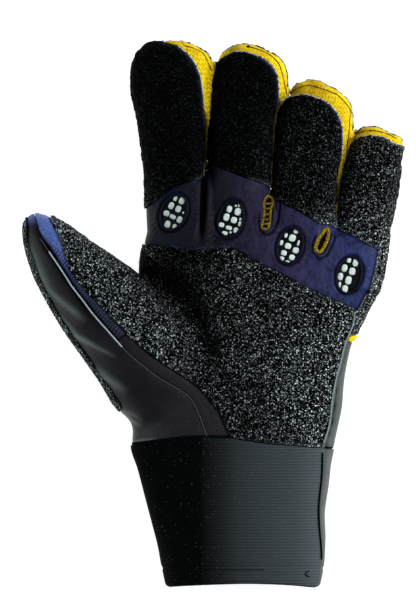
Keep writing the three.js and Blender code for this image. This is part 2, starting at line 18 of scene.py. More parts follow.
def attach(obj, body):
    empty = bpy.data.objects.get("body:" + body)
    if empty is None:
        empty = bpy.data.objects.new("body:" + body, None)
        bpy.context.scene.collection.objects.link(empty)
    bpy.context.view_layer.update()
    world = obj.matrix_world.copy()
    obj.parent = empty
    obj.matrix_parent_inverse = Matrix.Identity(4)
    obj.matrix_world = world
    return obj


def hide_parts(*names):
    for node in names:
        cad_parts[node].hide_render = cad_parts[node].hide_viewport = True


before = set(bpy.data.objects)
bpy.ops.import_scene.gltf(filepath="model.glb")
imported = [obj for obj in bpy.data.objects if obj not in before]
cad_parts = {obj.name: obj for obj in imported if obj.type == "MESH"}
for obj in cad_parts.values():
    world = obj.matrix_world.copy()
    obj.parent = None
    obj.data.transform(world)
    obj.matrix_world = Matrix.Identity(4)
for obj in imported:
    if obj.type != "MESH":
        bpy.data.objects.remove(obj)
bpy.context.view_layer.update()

MILLIMETRE = 0.001
TABLE_SHIFT = np.array([0.52, -0.45, 0.0])
PIXEL = 0.48
PICTURE_ZERO = (213.7, 314.0)
FINGERS = ("index", "middle", "ring", "little")

# How far the outer face of each kind of panel stands out of the leather, and the wall's inner face.
GRIP_LEVEL = 0.8
CUFF_LEVEL = 0.6
INNER_LEVEL = -2.0
# How far a face turns from the way out of the glove before it counts as a panel's cut side.
SIDE_SHARE = 0.35

FINGER_SECTION = {"power": 2.5, "roll": 17, "aspect": 1.35}
# Each form: its section, its axis as a place and a lean in degrees, and its rows along that axis, which
# are at, left, right, low and high.
FORMS = {
    "index": (FINGER_SECTION, (0, 0, 0), [
        (131.4, -22.9, -15.2, 15.0, 20.0), (129.8, -30.1, -10.4, 11.0, 23.5),
        (127.7, -33.9, -6.6, 8.0, 26.0), (124.3, -37.1, -2.3, 5.0, 28.0), (119.5, -38.7, -0.6, 2.5, 29.5),
        (113.3, -39.5, -1.7, 0.8, 30.0), (93.1, -36.2, -3.0, -1.0, 28.5), (73.9, -33.4, -4.0, -1.0, 28.0),
        (66.2, -32.7, 0.1, -1.0, 28.6), (54.7, -32.6, 3.0, -1.0, 30.0), (30.7, -31.5, 4.9, 0.0, 32.5),
    ]),
    "middle": (FINGER_SECTION, (0, 0, 0), [
        (129.8, 11.7, 18.4, 15.0, 20.0), (128.4, 8.3, 21.7, 11.0, 23.5), (126.2, 4.9, 26.5, 8.0, 26.0),
        (122.9, 2.5, 31.8, 5.0, 28.0), (118.6, 1.0, 34.5, 2.5, 29.5), (112.3, -0.6, 35.5, 0.8, 30.0),
        (106.6, -1.3, 35.0, -0.4, 29.8), (97.4, -1.9, 29.8, -1.0, 29.0), (74.9, -2.8, 27.4, -1.0, 28.5),
        (61.9, -6.6, 26.9, -1.0, 29.0), (52.8, -8.5, 33.7, -1.0, 30.0), (30.7, -7.5, 37.6, 0.0, 32.5),
    ]),
    "ring": (FINGER_SECTION, (0, 0, 0), [
        (112.5, 44.3, 51.0, 15.0, 20.0), (110.4, 39.9, 53.9, 11.0, 23.5), (108.0, 37.6, 58.7, 8.0, 26.0),
        (105.1, 36.4, 62.5, 5.0, 28.0), (101.8, 34.2, 65.4, 2.5, 29.5), (97.4, 32.0, 66.6, 0.8, 30.0),
        (90.2, 30.6, 67.0, -0.4, 29.5), (78.2, 29.5, 62.9, -1.0, 28.5), (61.0, 28.2, 59.0, -1.0, 29.0),
        (52.8, 21.7, 58.2, -1.0, 30.0), (33.6, 20.3, 63.0, -1.0, 32.0), (22.1, 23.2, 65.4, 0.0, 32.5),
    ]),
    "little": (FINGER_SECTION, (0, 0, 0), [
        (90.3, 72.6, 78.9, 13.0, 17.0), (88.8, 69.9, 81.7, 9.0, 20.5), (86.9, 68.8, 85.1, 6.5, 23.0),
        (84.5, 68.1, 90.4, 4.0, 25.0), (81.6, 66.9, 91.2, 2.0, 26.3), (77.3, 65.2, 90.1, 0.6, 27.0),
        (62.4, 61.0, 88.8, -1.0, 26.6), (43.2, 57.3, 85.1, -1.0, 27.5), (33.6, 49.1, 83.2, -1.0, 29.0),
        (11.5, 47.2, 78.9, 0.0, 31.0),
    ]),
    "hand": ({"power": 2.5, "roll": 0, "aspect": 2}, (0, 0, 0), [
        (37.4, -32.0, 82.9, 1.0, 30.0), (30.7, -33.9, 82.7, -0.8, 33.0), (20.6, -35.0, 81.3, -1.0, 34.2),
        (10.6, -34.9, 78.2, -1.0, 35.0), (0.5, -34.4, 73.1, -1.0, 35.8), (-17.3, -33.5, 65.2, -1.0, 37.4),
        (-62.4, -39.2, 57.5, -1.0, 42.4), (-74.4, -35.9, 55.3, -1.0, 43.0),
        (-118.1, -24.8, 52.5, -1.0, 46.0), (-131.0, -22.2, 50.5, -1.0, 46.6),
    ]),
    "thumb": ({"power": 2.2, "roll": 0, "aspect": 1}, (-53.6, 4.3, 38), [
        (55.3, -4.0, 1.5, 28.0, 33.0), (53.3, -6.2, 3.2, 23.5, 37.5), (50.5, -8.5, 5.4, 20.0, 41.0),
        (45.5, -11.5, 8.0, 17.0, 44.0), (37.5, -14.9, 11.0, 14.5, 46.5), (27.5, -17.9, 13.7, 12.0, 48.0),
        (2.0, -21.7, 21.6, 6.5, 49.5), (-27.5, -23.3, 26.0, 1.5, 48.0), (-42.0, -25.0, 26.0, 0.0, 45.6),
        (-61.0, -21.0, 17.0, 2.0, 37.0),
    ]),
}
ROW_STEP = 0.25
# The points that a section's greatest reach is looked for among.
SECTION_STEPS = 720
# The step over which slopes are measured, the least slope that counts, and what keeps a division safe.
NUDGE = 0.05
LEAST_SLOPE = 0.3
TINY = 1e-8
# How widely a form's ends are rounded, and how widely neighbouring forms run into each other.
TIP_ROUND = 2.0
FINGER_BLEND = 0.5
KNUCKLE_BLEND = 3.0
THUMB_BLEND = 5.0


def spot(px, py):
    """A picture pixel's place on the table."""
    return (px - PICTURE_ZERO[0]) * PIXEL, (PICTURE_ZERO[1] - py) * PIXEL


def to_model(points):
    return (np.asarray(points) + TABLE_SHIFT) * MILLIMETRE


def to_table(points):
    return np.asarray(points) / MILLIMETRE - TABLE_SHIFT


def traced(line):
    """The places on the table under a line of the picture."""
    return np.array([spot(px, py) for px, py in line])


def away_from(points, px, py):
    """How far each point lies from a spot of the picture, seen from above."""
    return np.hypot(*(points[:, :2] - np.array(spot(px, py))).T)


def unit(values):
    """Values held between 0 and 1."""
    return np.clip(values, 0, 1)


def rising(values, start, end):
    """0 up to the start and 1 from the end on, evenly between them; the end may be the smaller one."""
    return unit((values - start) / (end - start))


def ridge(distance, width):
    """1 in the middle, dying away over a width."""
    return np.exp(-((distance / width) ** 2))


def steady_curve(x, y, at):
    """A smooth curve through points with rising x that never swings past them."""
    step = np.diff(x)
    slope = np.diff(y) / step
    tangent = np.zeros(len(x))
    onward = slope[:-1] * slope[1:] > 0
    safe = np.where(onward, slope[:-1] + slope[1:], 1)
    tangent[1:-1] = np.where(onward, 2 * slope[:-1] * slope[1:] / safe, 0)
    tangent[0], tangent[-1] = slope[0], slope[-1]
    i = np.clip(np.searchsorted(x, at) - 1, 0, len(step) - 1)
    h = step[i]
    t = unit((at - x[i]) / h)
    ends = (2 * t**3 - 3 * t**2 + 1) * y[i] + (3 * t**2 - 2 * t**3) * y[i + 1]
    return ends + h * ((t**3 - 2 * t**2 + t) * tangent[i] + (t**3 - t**2) * tangent[i + 1])


def blended(a, b, width):
    """The smaller of two measures, with the crease where they meet rounded over that width."""
    h = unit(0.5 + 0.5 * (b - a) / width)
    return b + (a - b) * h - width * h * (1 - h)


class Form:
    """A rounded form that is lofted along an axis, with a measure of how far a point lies outside it."""

    def __init__(self, section, axis, rows):
        self.power, self.aspect = section["power"], section["aspect"]
        self.turn = math.radians(section["roll"])
        self.x, self.y = axis[0], axis[1]
        self.lean = math.radians(axis[2])
        table = np.array(sorted(rows))
        self.base, self.tip = table[0, 0], table[-1, 0]
        self.at = np.arange(self.base, self.tip, ROW_STEP)
        self.sideways = np.array([[math.cos(self.lean), math.sin(self.lean), 0], [0, 0, 1]])
        self.rows = [steady_curve(table[:, 0], table[:, k], self.at) for k in range(1, 5)]
        angle = np.linspace(0, 2 * math.pi, SECTION_STEPS)
        u = np.sign(np.cos(angle)) * np.abs(np.cos(angle)) ** (2 / self.power) * self.aspect
        w = np.sign(np.sin(angle)) * np.abs(np.sin(angle)) ** (2 / self.power)
        self.reach = (
            np.abs(u * math.cos(self.turn) - w * math.sin(self.turn)).max(),
            np.abs(u * math.sin(self.turn) + w * math.cos(self.turn)).max(),
        )

    def along(self, points):
        """Each point's place across the form's axis and along it."""
        x, y = points[:, 0] - self.x, points[:, 1] - self.y
        across = x * math.cos(self.lean) + y * math.sin(self.lean)
        return across, -x * math.sin(self.lean) + y * math.cos(self.lean)

    def radial(self, points):
        """Below 0 inside the form, 0 on it and above 0 outside it."""
        across, at = self.along(points)
        left, right, low, high = (np.interp(at, self.at, row) for row in self.rows)
        u = (across - (left + right) / 2) / (right - left) * 2 * self.reach[0]
        w = (points[:, 2] - (low + high) / 2) / (high - low) * 2 * self.reach[1]
        x = np.abs(u * math.cos(self.turn) + w * math.sin(self.turn)) / self.aspect
        z = np.abs(w * math.cos(self.turn) - u * math.sin(self.turn))
        return (x**self.power + z**self.power) ** (1 / self.power) - 1

    def outside(self, points):
        """Roughly how many millimetres each point lies outside the form."""
        value = self.radial(points)
        slope = sum(((self.radial(points + NUDGE * side) - value) / NUDGE) ** 2 for side in self.sideways)
        at = self.along(points)[1]
        beyond = np.maximum(self.base - at, at - self.tip)
        return -blended(-value / np.sqrt(np.maximum(slope, TINY)), -beyond, TIP_ROUND)


forms = {name: Form(*facts) for name, facts in FORMS.items()}


def outside_glove(points):
    """How far each point lies outside the glove: with its creases rounded over, and with sharp ones."""
    away = {name: form.outside(points) for name, form in forms.items()}
    fingers = away[FINGERS[0]]
    for name in FINGERS[1:]:
        fingers = blended(fingers, away[name], FINGER_BLEND)
    hand = blended(away["hand"], away["thumb"], THUMB_BLEND)
    return blended(hand, fingers, KNUCKLE_BLEND), np.minimum.reduce(list(away.values()))


def outward(points):
    """How far outside the glove's soft and sharp form each point lies, and the way straight out of it."""
    soft, sharp = outside_glove(points)
    way = np.stack([(outside_glove(points + NUDGE * side)[0] - soft) / NUDGE for side in np.eye(3)], axis=1)
    length = np.maximum(np.linalg.norm(way, axis=1), LEAST_SLOPE)
    return soft / length, sharp, way / length[:, None]


def hashed(cells, seed):
    """Numbers from 0 to 1 that look random, one for each lattice cell."""
    n = cells[..., 0] * 73856093 ^ cells[..., 1] * 19349663 ^ cells[..., 2] * 83492791 ^ seed * 15485863
    n = (n ^ (n >> 13)) * 1274126177
    return ((n ^ (n >> 16)) & 0xFFFFFF) / 0xFFFFFF


def lumps(points, pitch, seed=0):
    """Soft random lumps from 0 to 1, about that far apart."""
    cell = np.floor(points / pitch).astype(np.int64)
    part = points / pitch - cell
    part = part * part * (3 - 2 * part)
    total = 0
    for corner in itertools.product((0, 1), repeat=3):
        weight = np.prod(np.where(np.array(corner), part, 1 - part), axis=1)
        total = total + weight * hashed(cell + np.array(corner), seed)
    return total


# How far a grain's middle strays within its cell, and how far a grain reaches, in cells.
GRAIN_SHAKE = 0.8
GRAIN_REACH = 0.75


def grains(points, pitch, seed=0):
    """How near each point is to the middle of a grain: 1 at the middle, 0 between grains."""
    cell = np.floor(points / pitch).astype(np.int64)
    best = np.full(len(points), np.inf)
    for step in itertools.product((-1, 0, 1), repeat=3):
        near = cell + np.array(step)
        shake = np.stack([hashed(near, seed + k) for k in range(3)], axis=1) - 0.5
        centre = (near + 0.5 + GRAIN_SHAKE * shake) * pitch
        best = np.minimum(best, ((points - centre) ** 2).sum(axis=1))
    return unit(1 - np.sqrt(best) / (GRAIN_REACH * pitch))


def along_line(points, line):
    """For each point its distance from a line seen from above, signed to the left, and its place along it."""
    line = np.asarray(line, dtype=float)
    best = np.full(len(points), np.inf)
    side = np.zeros(len(points))
    place = np.zeros(len(points))
    run = 0
    for a, b in zip(line[:-1], line[1:]):
        way = b - a
        length = np.hypot(*way)
        rel = points[:, :2] - a
        t = unit((rel @ way) / length**2)
        off = rel - t[:, None] * way
        gap = np.hypot(off[:, 0], off[:, 1])
        nearer = gap < best
        best = np.where(nearer, gap, best)
        side = np.where(nearer, np.sign(way[0] * rel[:, 1] - way[1] * rel[:, 0]), side)
        place = np.where(nearer, run + t * length, place)
        run += length
    return best * side, place, run


# The share of a fold's length over which it dies away at each end.
FOLD_ENDS = 0.3


def fold(points, line, height, width):
    """A ridge along a line of the picture that dies away at both ends; a negative height makes a valley."""
    gap, place, run = along_line(points, traced(line))
    return height * unit(np.minimum(place, run - place) / (FOLD_ENDS * run)) * ridge(gap, width)


# Painted glints on the grip's grains, bright where the light falls: the middle of each patch in the picture,
# its reach in millimetres and its painted brightness, from 0 for black to about 1 for bright.
PAINTED_GLINT_PATCHES = {
    "index and middle pads": (200, 110, 26, 0.025),
    "ring pad": (312, 160, 13, 0.17),
    "little pad": (384, 170, 11, 0.45),
    "outer side": (370, 265, 13, 1.15),
    "thumb pad": (88, 258, 16, 0.95),
    "thenar": (142, 330, 11, 0.95),
    "palm fold": (178, 280, 11, 0.02),
    "palm": (236, 320, 17, 0.52),
    "palm base": (232, 418, 15, 0.36),
    "wrist side": (326, 380, 15, 1.15),
}
# The painted shade in the crease at the foot of the thumb: its line in the picture, its width and how much it
# dims the painted glints.
PALM_CREASE_SHADE = ([(146, 268), (166, 276), (184, 290), (198, 308), (208, 334), (212, 350)], 5.5, 0.92)


def painted_glints_at(points):
    """How bright the painted glints of the grip are at each point, dimmed in the crease's painted shade."""
    total, weight = np.zeros(len(points)), np.full(len(points), TINY)
    for px, py, reach, painted_glint in PAINTED_GLINT_PATCHES.values():
        near = ridge(away_from(points, px, py), math.sqrt(2) * reach)
        total, weight = total + painted_glint * near, weight + near
    line, width, share = PALM_CREASE_SHADE
    return total / weight * (1 - share * ridge(along_line(points, traced(line))[0], width))


def added(name, data):
    """A new object in the scene."""
    thing = bpy.data.objects.new(name, data)
    bpy.context.scene.collection.objects.link(thing)
    return thing


# How near two points are to be one, in metres.
MERGE_DISTANCE = 1e-6


def surface_of(node, voxel):
    """A mesh of a CAD node's surface, remade with even faces."""
    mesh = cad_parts[node].data.copy()
    shape = bmesh.new()
    shape.from_mesh(mesh)
    bmesh.ops.remove_doubles(shape, verts=shape.verts, dist=MERGE_DISTANCE)
    shape.to_mesh(mesh)
    shape.free()
    copy = added("remade", mesh)
    remesh = copy.modifiers.new("even", "REMESH")
    remesh.mode = "VOXEL"
    remesh.voxel_size = voxel * MILLIMETRE
    remesh.use_smooth_shade = True
    made = bpy.data.meshes.new_from_object(copy.evaluated_get(bpy.context.evaluated_depsgraph_get()))
    bpy.data.objects.remove(copy)
    return made


def read_points(mesh):
    """A mesh's points on the table."""
    points = np.empty(len(mesh.vertices) * 3)
    mesh.vertices.foreach_get("co", points)
    return to_table(points.reshape(-1, 3))


def write_points(mesh, points):
    mesh.vertices.foreach_set("co", to_model(points).ravel())
    mesh.update()


def store(mesh, name, values):
    """Keeps a number for each of a mesh's points, for its material to read."""
    layer = mesh.attributes.new(name, "FLOAT", "POINT")
    layer.data.foreach_set("value", np.asarray(values, dtype=np.float32))


# How far a cut edge may lie from a seam to be drawn onto it, and over what its ends let go.
SEAM_REACH = 4.5
SEAM_ENDS = 2.0
# Which side of its seam a panel keeps to.
WITHIN, OUTSIDE = -1, 1
# A face counts as cut along a seam by how near the seam it lies, how deep below the glove's form, and how
# squarely it turns across the seam: each from the first value, and surely from the second.
CUT_NEAR = (1.3, 1.0)
CUT_DEPTH = (-1.6, -1.3)
CUT_TURN = (0.85, 0.93)
# How many cut points a move is taken from, and how evenly they share in it.
CUT_NEIGHBOURS = 6
CUT_EVEN = 0.3
# The flattest slope that a drop is worked out for, and the greatest drop.
LEAST_RISE = 0.3
DROP_MOST = 3.0
# How deep the outer face, counted from its level, and the lining lie.
FACE_DEPTH = (-2.2, -1.6)
LINING_DEPTH = (-0.8, -1.3)
# What lies as deep as this stays there, and the wall's inner face begins where that ends.
DEEP = -6.0
DEEP_END = -4.0
# How far below its level a cut side stops following its own depth.
SIDE_TOP = 0.5
# How many times a panel's points are drawn onto the form, and how far at most each time.
DRAW_ROUNDS = 3
DRAW_STEP = 1.5
# How far from a cut edge its distance is kept, and the width of the pale rim there: fray, painted only where
# the edge faces the light, and so partly a painted highlight.
EDGE_REACH = 6.0
RIM_WIDTH = 0.5


def tree_of(points, chosen):
    """A search tree of the chosen points."""
    tree = KDTree(len(chosen))
    for k in chosen:
        tree.insert(points[k], int(k))
    tree.balance()
    return tree


def edge_distance(points, outer):
    """How far each outer point lies from the panel's cut edge, up to a reach."""
    tree = tree_of(points, np.flatnonzero(~outer))
    away = np.zeros(len(points))
    for k in np.flatnonzero(outer):
        away[k] = min(tree.find(points[k])[2], EDGE_REACH)
    return away


def normals_of(mesh):
    normals = np.empty(len(mesh.vertices) * 3)
    mesh.vertex_normals.foreach_get("vector", normals)
    return normals.reshape(-1, 3)


def seam_gap(points, seam):
    """Each point's distance from a seam, the way across it, and how surely it lies beside it."""
    line = traced(seam)
    gap, place, run = along_line(points, line)
    across = [(along_line(points + NUDGE * side, line)[0] - gap) / NUDGE for side in np.eye(3)[:2]]
    return gap, np.stack(across, axis=1), unit(np.minimum(place, run - place) / SEAM_ENDS)


def cut_share(points, normals, sharp, seam, keep):
    """1 on the upright face where a panel was cut along a seam, and 0 elsewhere."""
    gap, across, beside = seam_gap(points, seam)
    turned = -keep * (normals[:, :2] * across).sum(axis=1)
    near = rising(np.abs(gap), *CUT_NEAR) * rising(sharp, *CUT_DEPTH)
    return rising(turned, *CUT_TURN) * near * (beside > 0)


def along_surface(shift, way):
    """A sideways shift, with the drop that keeps it on the surface."""
    drop = (shift * way[:, :2]).sum(axis=1) / np.maximum(way[:, 2], LEAST_RISE)
    return np.column_stack([shift, -np.clip(drop, -DROP_MOST, DROP_MOST) * (way[:, 2] > 0)])


def seam_shift(points, way, cut, seam):
    """How far to move each point along the surface so that the panel's cut edge runs along a seam."""
    gap, across, beside = seam_gap(points, seam)
    move = -(gap * beside)[:, None] * across
    tree = tree_of(points, np.flatnonzero(cut > 0.5))
    shift = np.zeros((len(points), 2))
    for k in np.flatnonzero(np.abs(gap) < 2 * SEAM_REACH):
        near = tree.find_n(points[k], CUT_NEIGHBOURS)
        if near and near[0][2] < SEAM_REACH:
            share = np.array([1 / (CUT_EVEN + hit[2]) for hit in near])
            fade = (1 - near[0][2] / SEAM_REACH) ** 2
            shift[k] = fade * (share @ move[[hit[1] for hit in near]]) / share.sum()
    return along_surface(shift, way)


def seam_stop(points, way, keep, seam):
    """What brings back the points that have passed a seam."""
    gap, across, beside = seam_gap(points, seam)
    past = np.where((gap * keep < 0) & (np.abs(gap) < SEAM_REACH), gap, 0) * (beside > 0)
    return along_surface(-past[:, None] * across, way)


def wanted_depth(facing, sharp, level, cut):
    """How surely each point lies on a panel's outer face, and the depth that it is drawn to."""
    face = unit(facing / SIDE_SHARE) * rising(sharp - level, *FACE_DEPTH) * (1 - cut)
    lining = unit(-facing / SIDE_SHARE) * rising(sharp, *LINING_DEPTH) * (1 - cut)
    inner = np.where(sharp < DEEP, sharp, np.interp(sharp, [DEEP, DEEP_END], [DEEP, INNER_LEVEL]))
    side = np.interp(sharp, [DEEP, INNER_LEVEL, level - SIDE_TOP], [DEEP, INNER_LEVEL, level])
    return face, face * level + lining * inner + (1 - face - lining) * side


def dressed(node, voxel, level, relief, seam=None, keep=WITHIN, moved=None):
    """A panel in place of its CAD node: evened, drawn onto the glove's smooth form, then given its relief."""
    mesh = surface_of(node, voxel)
    points = read_points(mesh)
    depth, sharp, way = outward(points)
    normals = normals_of(mesh)
    cut = cut_share(points, normals, sharp, seam, keep) if seam else np.zeros(len(points))
    face, aim = wanted_depth((normals * way).sum(axis=1), sharp, level, cut)
    outer = face > 0.5
    for _ in range(DRAW_ROUNDS):
        points = points + np.clip(aim - depth, -DRAW_STEP, DRAW_STEP)[:, None] * way
        depth, sharp, way = outward(points)
        if seam:
            points = points + seam_shift(points, way, cut, seam)
            depth, sharp, way = outward(points)
    if seam:
        points = points + seam_stop(points, way, keep, seam)
        depth, sharp, way = outward(points)
    points[:, 2] = np.maximum(points[:, 2], 0)
    away = edge_distance(points, outer)
    height = relief(points, way, away, mesh)
    points = points + (height * face)[:, None] * way
    points[:, 2] = np.maximum(points[:, 2], 0)
    if moved:
        points = moved(points)
    write_points(mesh, points)
    store(mesh, "edge", away)
    # For the grip: a pale rim of fray and painted highlight where a cut edge faces the light, and painted
    # glints.
    store(mesh, "rim", np.exp(-away / RIM_WIDTH) * unit(2 * way[:, 0] + way[:, 1]) * outer)
    store(mesh, "painted_glint", painted_glints_at(points))
    piece = added(node + "_dressed", mesh)
    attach(piece, "root")
    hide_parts(node)
    return piece


# Materials

class Look:
    """A material with short ways to add its nodes. Places in it are in millimetres on the model."""

    def __init__(self, name, slot):
        self.material = bpy.data.materials.new(name)
        self.material.use_nodes = True
        self.slot = slot
        self.tree = self.material.node_tree
        self.shader = self.tree.nodes["Principled BSDF"]
        place = self.tree.nodes.new("ShaderNodeTexCoord").outputs["Object"]
        self.place = self.scaled(place, 1 / MILLIMETRE)

    def add(self, kind, output, **settings):
        """Adds a node; a setting named after an input fills it, and any other sets the node's own value."""
        node = self.tree.nodes.new(kind)
        for key, value in list(settings.items()):
            if key not in node.inputs.keys():
                setattr(node, key, value)
                settings.pop(key)
        for key, value in settings.items():
            self.put(node.inputs[key], value)
        return node.outputs[output]

    def put(self, socket, value):
        if isinstance(value, bpy.types.NodeSocket):
            self.tree.links.new(value, socket)
        else:
            socket.default_value = value

    def math(self, operation, a, b=0.0, clamp=False):
        node = self.tree.nodes.new("ShaderNodeMath")
        node.operation = operation
        node.use_clamp = clamp
        self.put(node.inputs[0], a)
        self.put(node.inputs[1], b)
        return node.outputs[0]

    def times(self, a, b, clamp=False):
        return self.math("MULTIPLY", a, b, clamp)

    def plus(self, a, b):
        return self.math("ADD", a, b)

    def flip(self, a):
        return self.math("SUBTRACT", 1.0, a)

    def between(self, axis, start, end):
        """0 to 1 from one place to another along an axis of the model."""
        return self.math("DIVIDE", self.plus(self.split(axis), -start), end - start, True)

    def scaled(self, vector, scale):
        return self.add("ShaderNodeVectorMath", 0, Vector=vector, Scale=scale, operation="SCALE")

    def moved(self, operation, by):
        """Places with a vector added or multiplied."""
        node = self.tree.nodes.new("ShaderNodeVectorMath")
        node.operation = operation
        self.put(node.inputs[0], self.place)
        self.put(node.inputs[1], by)
        return node.outputs[0]

    def stretched(self, x, y, z):
        """Places scaled along each axis."""
        return self.moved("MULTIPLY", (x, y, z))

    def shaken(self, scale, reach):
        """Places shaken by a noise, each way by up to about half the reach."""
        noise = self.add("ShaderNodeTexNoise", "Color", Vector=self.place, Scale=scale, Detail=1.0)
        return self.moved("ADD", self.scaled(noise, reach))

    def noise(self, scale, detail=2.0, place=None, roughness=0.5):
        return self.add("ShaderNodeTexNoise", "Fac", Vector=place or self.place, Scale=scale, Detail=detail,
                        Roughness=roughness)

    def cells(self, scale, output="Distance", place=None, randomness=1.0, **settings):
        return self.add("ShaderNodeTexVoronoi", output, Vector=place or self.place, Scale=scale,
                        Randomness=randomness, **settings)

    def chance(self, scale, place=None):
        """A random number from 0 to 1 for each cell."""
        return self.add("ShaderNodeSeparateColor", "Red", Color=self.cells(scale, "Color", place))

    def ramp(self, value, *stops):
        """Colours along a value, given as pairs of a position and a colour or grey."""
        node = self.tree.nodes.new("ShaderNodeValToRGB")
        self.put(node.inputs[0], value)
        elements = node.color_ramp.elements
        while len(elements) < len(stops):
            elements.new(0.5)
        for element, (position, colour) in zip(elements, stops):
            element.position = position
            element.color = (*colour, 1) if isinstance(colour, tuple) else (colour, colour, colour, 1)
        return node.outputs["Color"]

    def mix(self, factor, a, b, blend="MIX"):
        node = self.tree.nodes.new("ShaderNodeMix")
        node.data_type = "RGBA"
        node.blend_type = blend
        self.put(node.inputs[0], factor)
        for socket, value in ((node.inputs[6], a), (node.inputs[7], b)):
            self.put(socket, (*value, 1) if isinstance(value, tuple) else value)
        return node.outputs[2]

    def stored(self, name):
        return self.add("ShaderNodeAttribute", "Fac", attribute_name=name)

    def split(self, axis):
        return self.add("ShaderNodeSeparateXYZ", axis, Vector=self.place)

    def bump(self, height, distance, strength=1.0, under=None):
        node = self.tree.nodes.new("ShaderNodeBump")
        self.put(node.inputs["Height"], height)
        node.inputs["Distance"].default_value = distance * MILLIMETRE
        node.inputs["Strength"].default_value = strength
        if under is not None:
            self.put(node.inputs["Normal"], under)
        return node.outputs[0]

    def finish(self, colour, roughness, normal=None, **sockets):
        """Fills the shader; an underscore in a socket's name stands for a space."""
        self.put(self.shader.inputs["Base Color"], (*colour, 1) if isinstance(colour, tuple) else colour)
        self.put(self.shader.inputs["Roughness"], roughness)
        if normal is not None:
            self.put(self.shader.inputs["Normal"], normal)
        for key, value in sockets.items():
            self.put(self.shader.inputs[key.replace("_", " ")], value)
        return self


def wear(piece, look):
    """Gives a piece its material."""
    piece.data.materials.clear()
    piece.data.materials.append(look.material)
    return piece


# The blue of the haze at the thumb's tip.
TIP_BLUE = (0.045, 0.085, 0.33)


def grip_look():
    """Black rubber with painted glints, pale rims of fray and painted highlight, smooth leather past its
    edge.
    """
    # glint is the colour of the painted highlights on the grains; fray is that of a rim of fray and painted
    # highlight.
    rubber, glint, fray = (0.0004, 0.0005, 0.0006), (0.72, 0.82, 0.84), (0.34, 0.41, 0.50)
    dark_leather, pale_leather = (0.055, 0.07, 0.075), (0.12, 0.145, 0.15)
    look = Look("pebbled_rubber", "grip_rubber")
    place = look.shaken(1.1, 0.9)
    # Glints painted on random grains, a painted highlight.
    shine = 0.0
    for scale, strength, power in ((1.0, 1.25, 4.5), (1.8, 1.2, 5.5)):
        body = look.ramp(look.cells(scale, place=place), (0.22, 1.0), (0.46, 0.0))
        chance = look.math("POWER", look.chance(scale, place), power)
        shine = look.plus(shine, look.times(chance, look.times(body, strength)))
    painted_glint = look.times(look.stored("painted_glint"), look.flip(look.stored("smooth")))
    colour = look.mix(look.times(shine, painted_glint, True), rubber, glint)
    patches = look.ramp(look.noise(1.6), (0.3, 0.25), (0.6, 1.0))
    # A pale rim where a cut edge faces the light: fray together with a painted highlight.
    colour = look.mix(look.times(look.times(look.stored("rim"), patches), 0.4), colour, fray)
    # Leather past the grip's edge; on the thumb's strip it shows only where the painted sheen falls.
    colour = look.mix(look.stored("plain"), colour, look.mix(look.noise(0.3, 3), dark_leather, pale_leather))
    colour = look.mix(look.stored("haze"), colour, TIP_BLUE)
    height = look.plus(look.times(look.cells(0.95), -0.7), look.times(look.cells(1.7), -0.5))
    return look.finish(colour, 0.5, look.bump(height, 0.6), Specular_IOR_Level=0.008)


def leather_look(name, slot, colour_of, roughness=0.45, wrinkle=0.2, shine=0.25):
    """Leather with creases and pores, which loses its gloss where shade is painted on it."""
    look = Look(name, slot)
    pores = look.ramp(look.cells(1.6, feature="DISTANCE_TO_EDGE"), (0.0, 0.0), (0.12, 1.0))
    creases = look.noise(0.25, 6, look.stretched(1, 0.6, 1), 0.6)
    normal = look.bump(pores, 0.08, 0.5, look.bump(creases, 1.2, wrinkle))
    lit = look.times(look.flip(look.stored("dark")), shine)
    return look.finish(colour_of(look), roughness, normal, Specular_IOR_Level=lit)


# The navy band's colours from the index finger's side to the little finger's, with painted light: darker
# on the index finger's side, lighter and bluer towards the little finger's, where the light falls.
NAVY_LIGHT_TONES = [
    (0.0, (0.001, 0.004, 0.010)), (0.3, (0.002, 0.0017, 0.0055)), (0.45, (0.012, 0.010, 0.028)),
    (0.65, (0.020, 0.016, 0.055)), (1.0, (0.018, 0.032, 0.13)),
]
# The blue strip's colours from its lower end to the thumb's tip.
BLUE_TONES = [
    (0.0, (0.006, 0.006, 0.028)), (0.3, (0.006, 0.006, 0.034)), (0.45, (0.016, 0.018, 0.085)),
    (0.6, (0.045, 0.065, 0.25)), (1.0, (0.055, 0.105, 0.33)),
]
# The elastic's greys from the thumb's side of the cuff to the other, painted light: black in the shade on the
# thumb's side, lighter where the light falls.
ELASTIC_LIGHT_TONES = [
    (0.0, 0.0008), (0.345, 0.0014), (0.46, 0.015), (0.55, 0.032), (0.66, 0.044), (0.85, 0.060),
    (1.0, 0.09),
]


def navy_colour(look):
    """Navy leather, worn in patches, with painted light: a highlight near its cut edge and shade on fine
    wrinkles.
    """
    patch, edge_highlight, deep = (0.03, 0.035, 0.08), (0.035, 0.06, 0.15), (0.0004, 0.0004, 0.0008)
    across = look.between("X", -34, 79)
    # Painted light: darker at the index finger's side, lighter and bluer towards the little finger's side.
    tone = look.ramp(across, *NAVY_LIGHT_TONES)
    worn = look.ramp(look.noise(0.16, 4, look.stretched(1.0, 0.5, 1)), (0.45, 0.0), (0.75, 1.0))
    tone = look.mix(look.times(worn, look.times(across, 0.5)), tone, patch)
    # A painted highlight along the cut edge.
    edge = look.ramp(look.stored("edge"), (0.0, 0.0), (0.25, 0.0), (0.45, 1.0), (1.0, 0.0))
    tone = look.mix(look.times(edge, 0.35), tone, edge_highlight)
    # Fine wrinkles, painted as darker and lighter streaks of shade and light.
    wrinkles = look.noise(0.32, 5, look.stretched(1.0, 0.6, 1), 0.72)
    tone = look.mix(1.0, tone, look.ramp(wrinkles, (0.36, 0.45), (0.5, 1.0), (0.66, 1.5)), "MULTIPLY")
    # Painted shade in the deep fold and the grooves.
    return look.mix(look.stored("dark"), tone, deep)


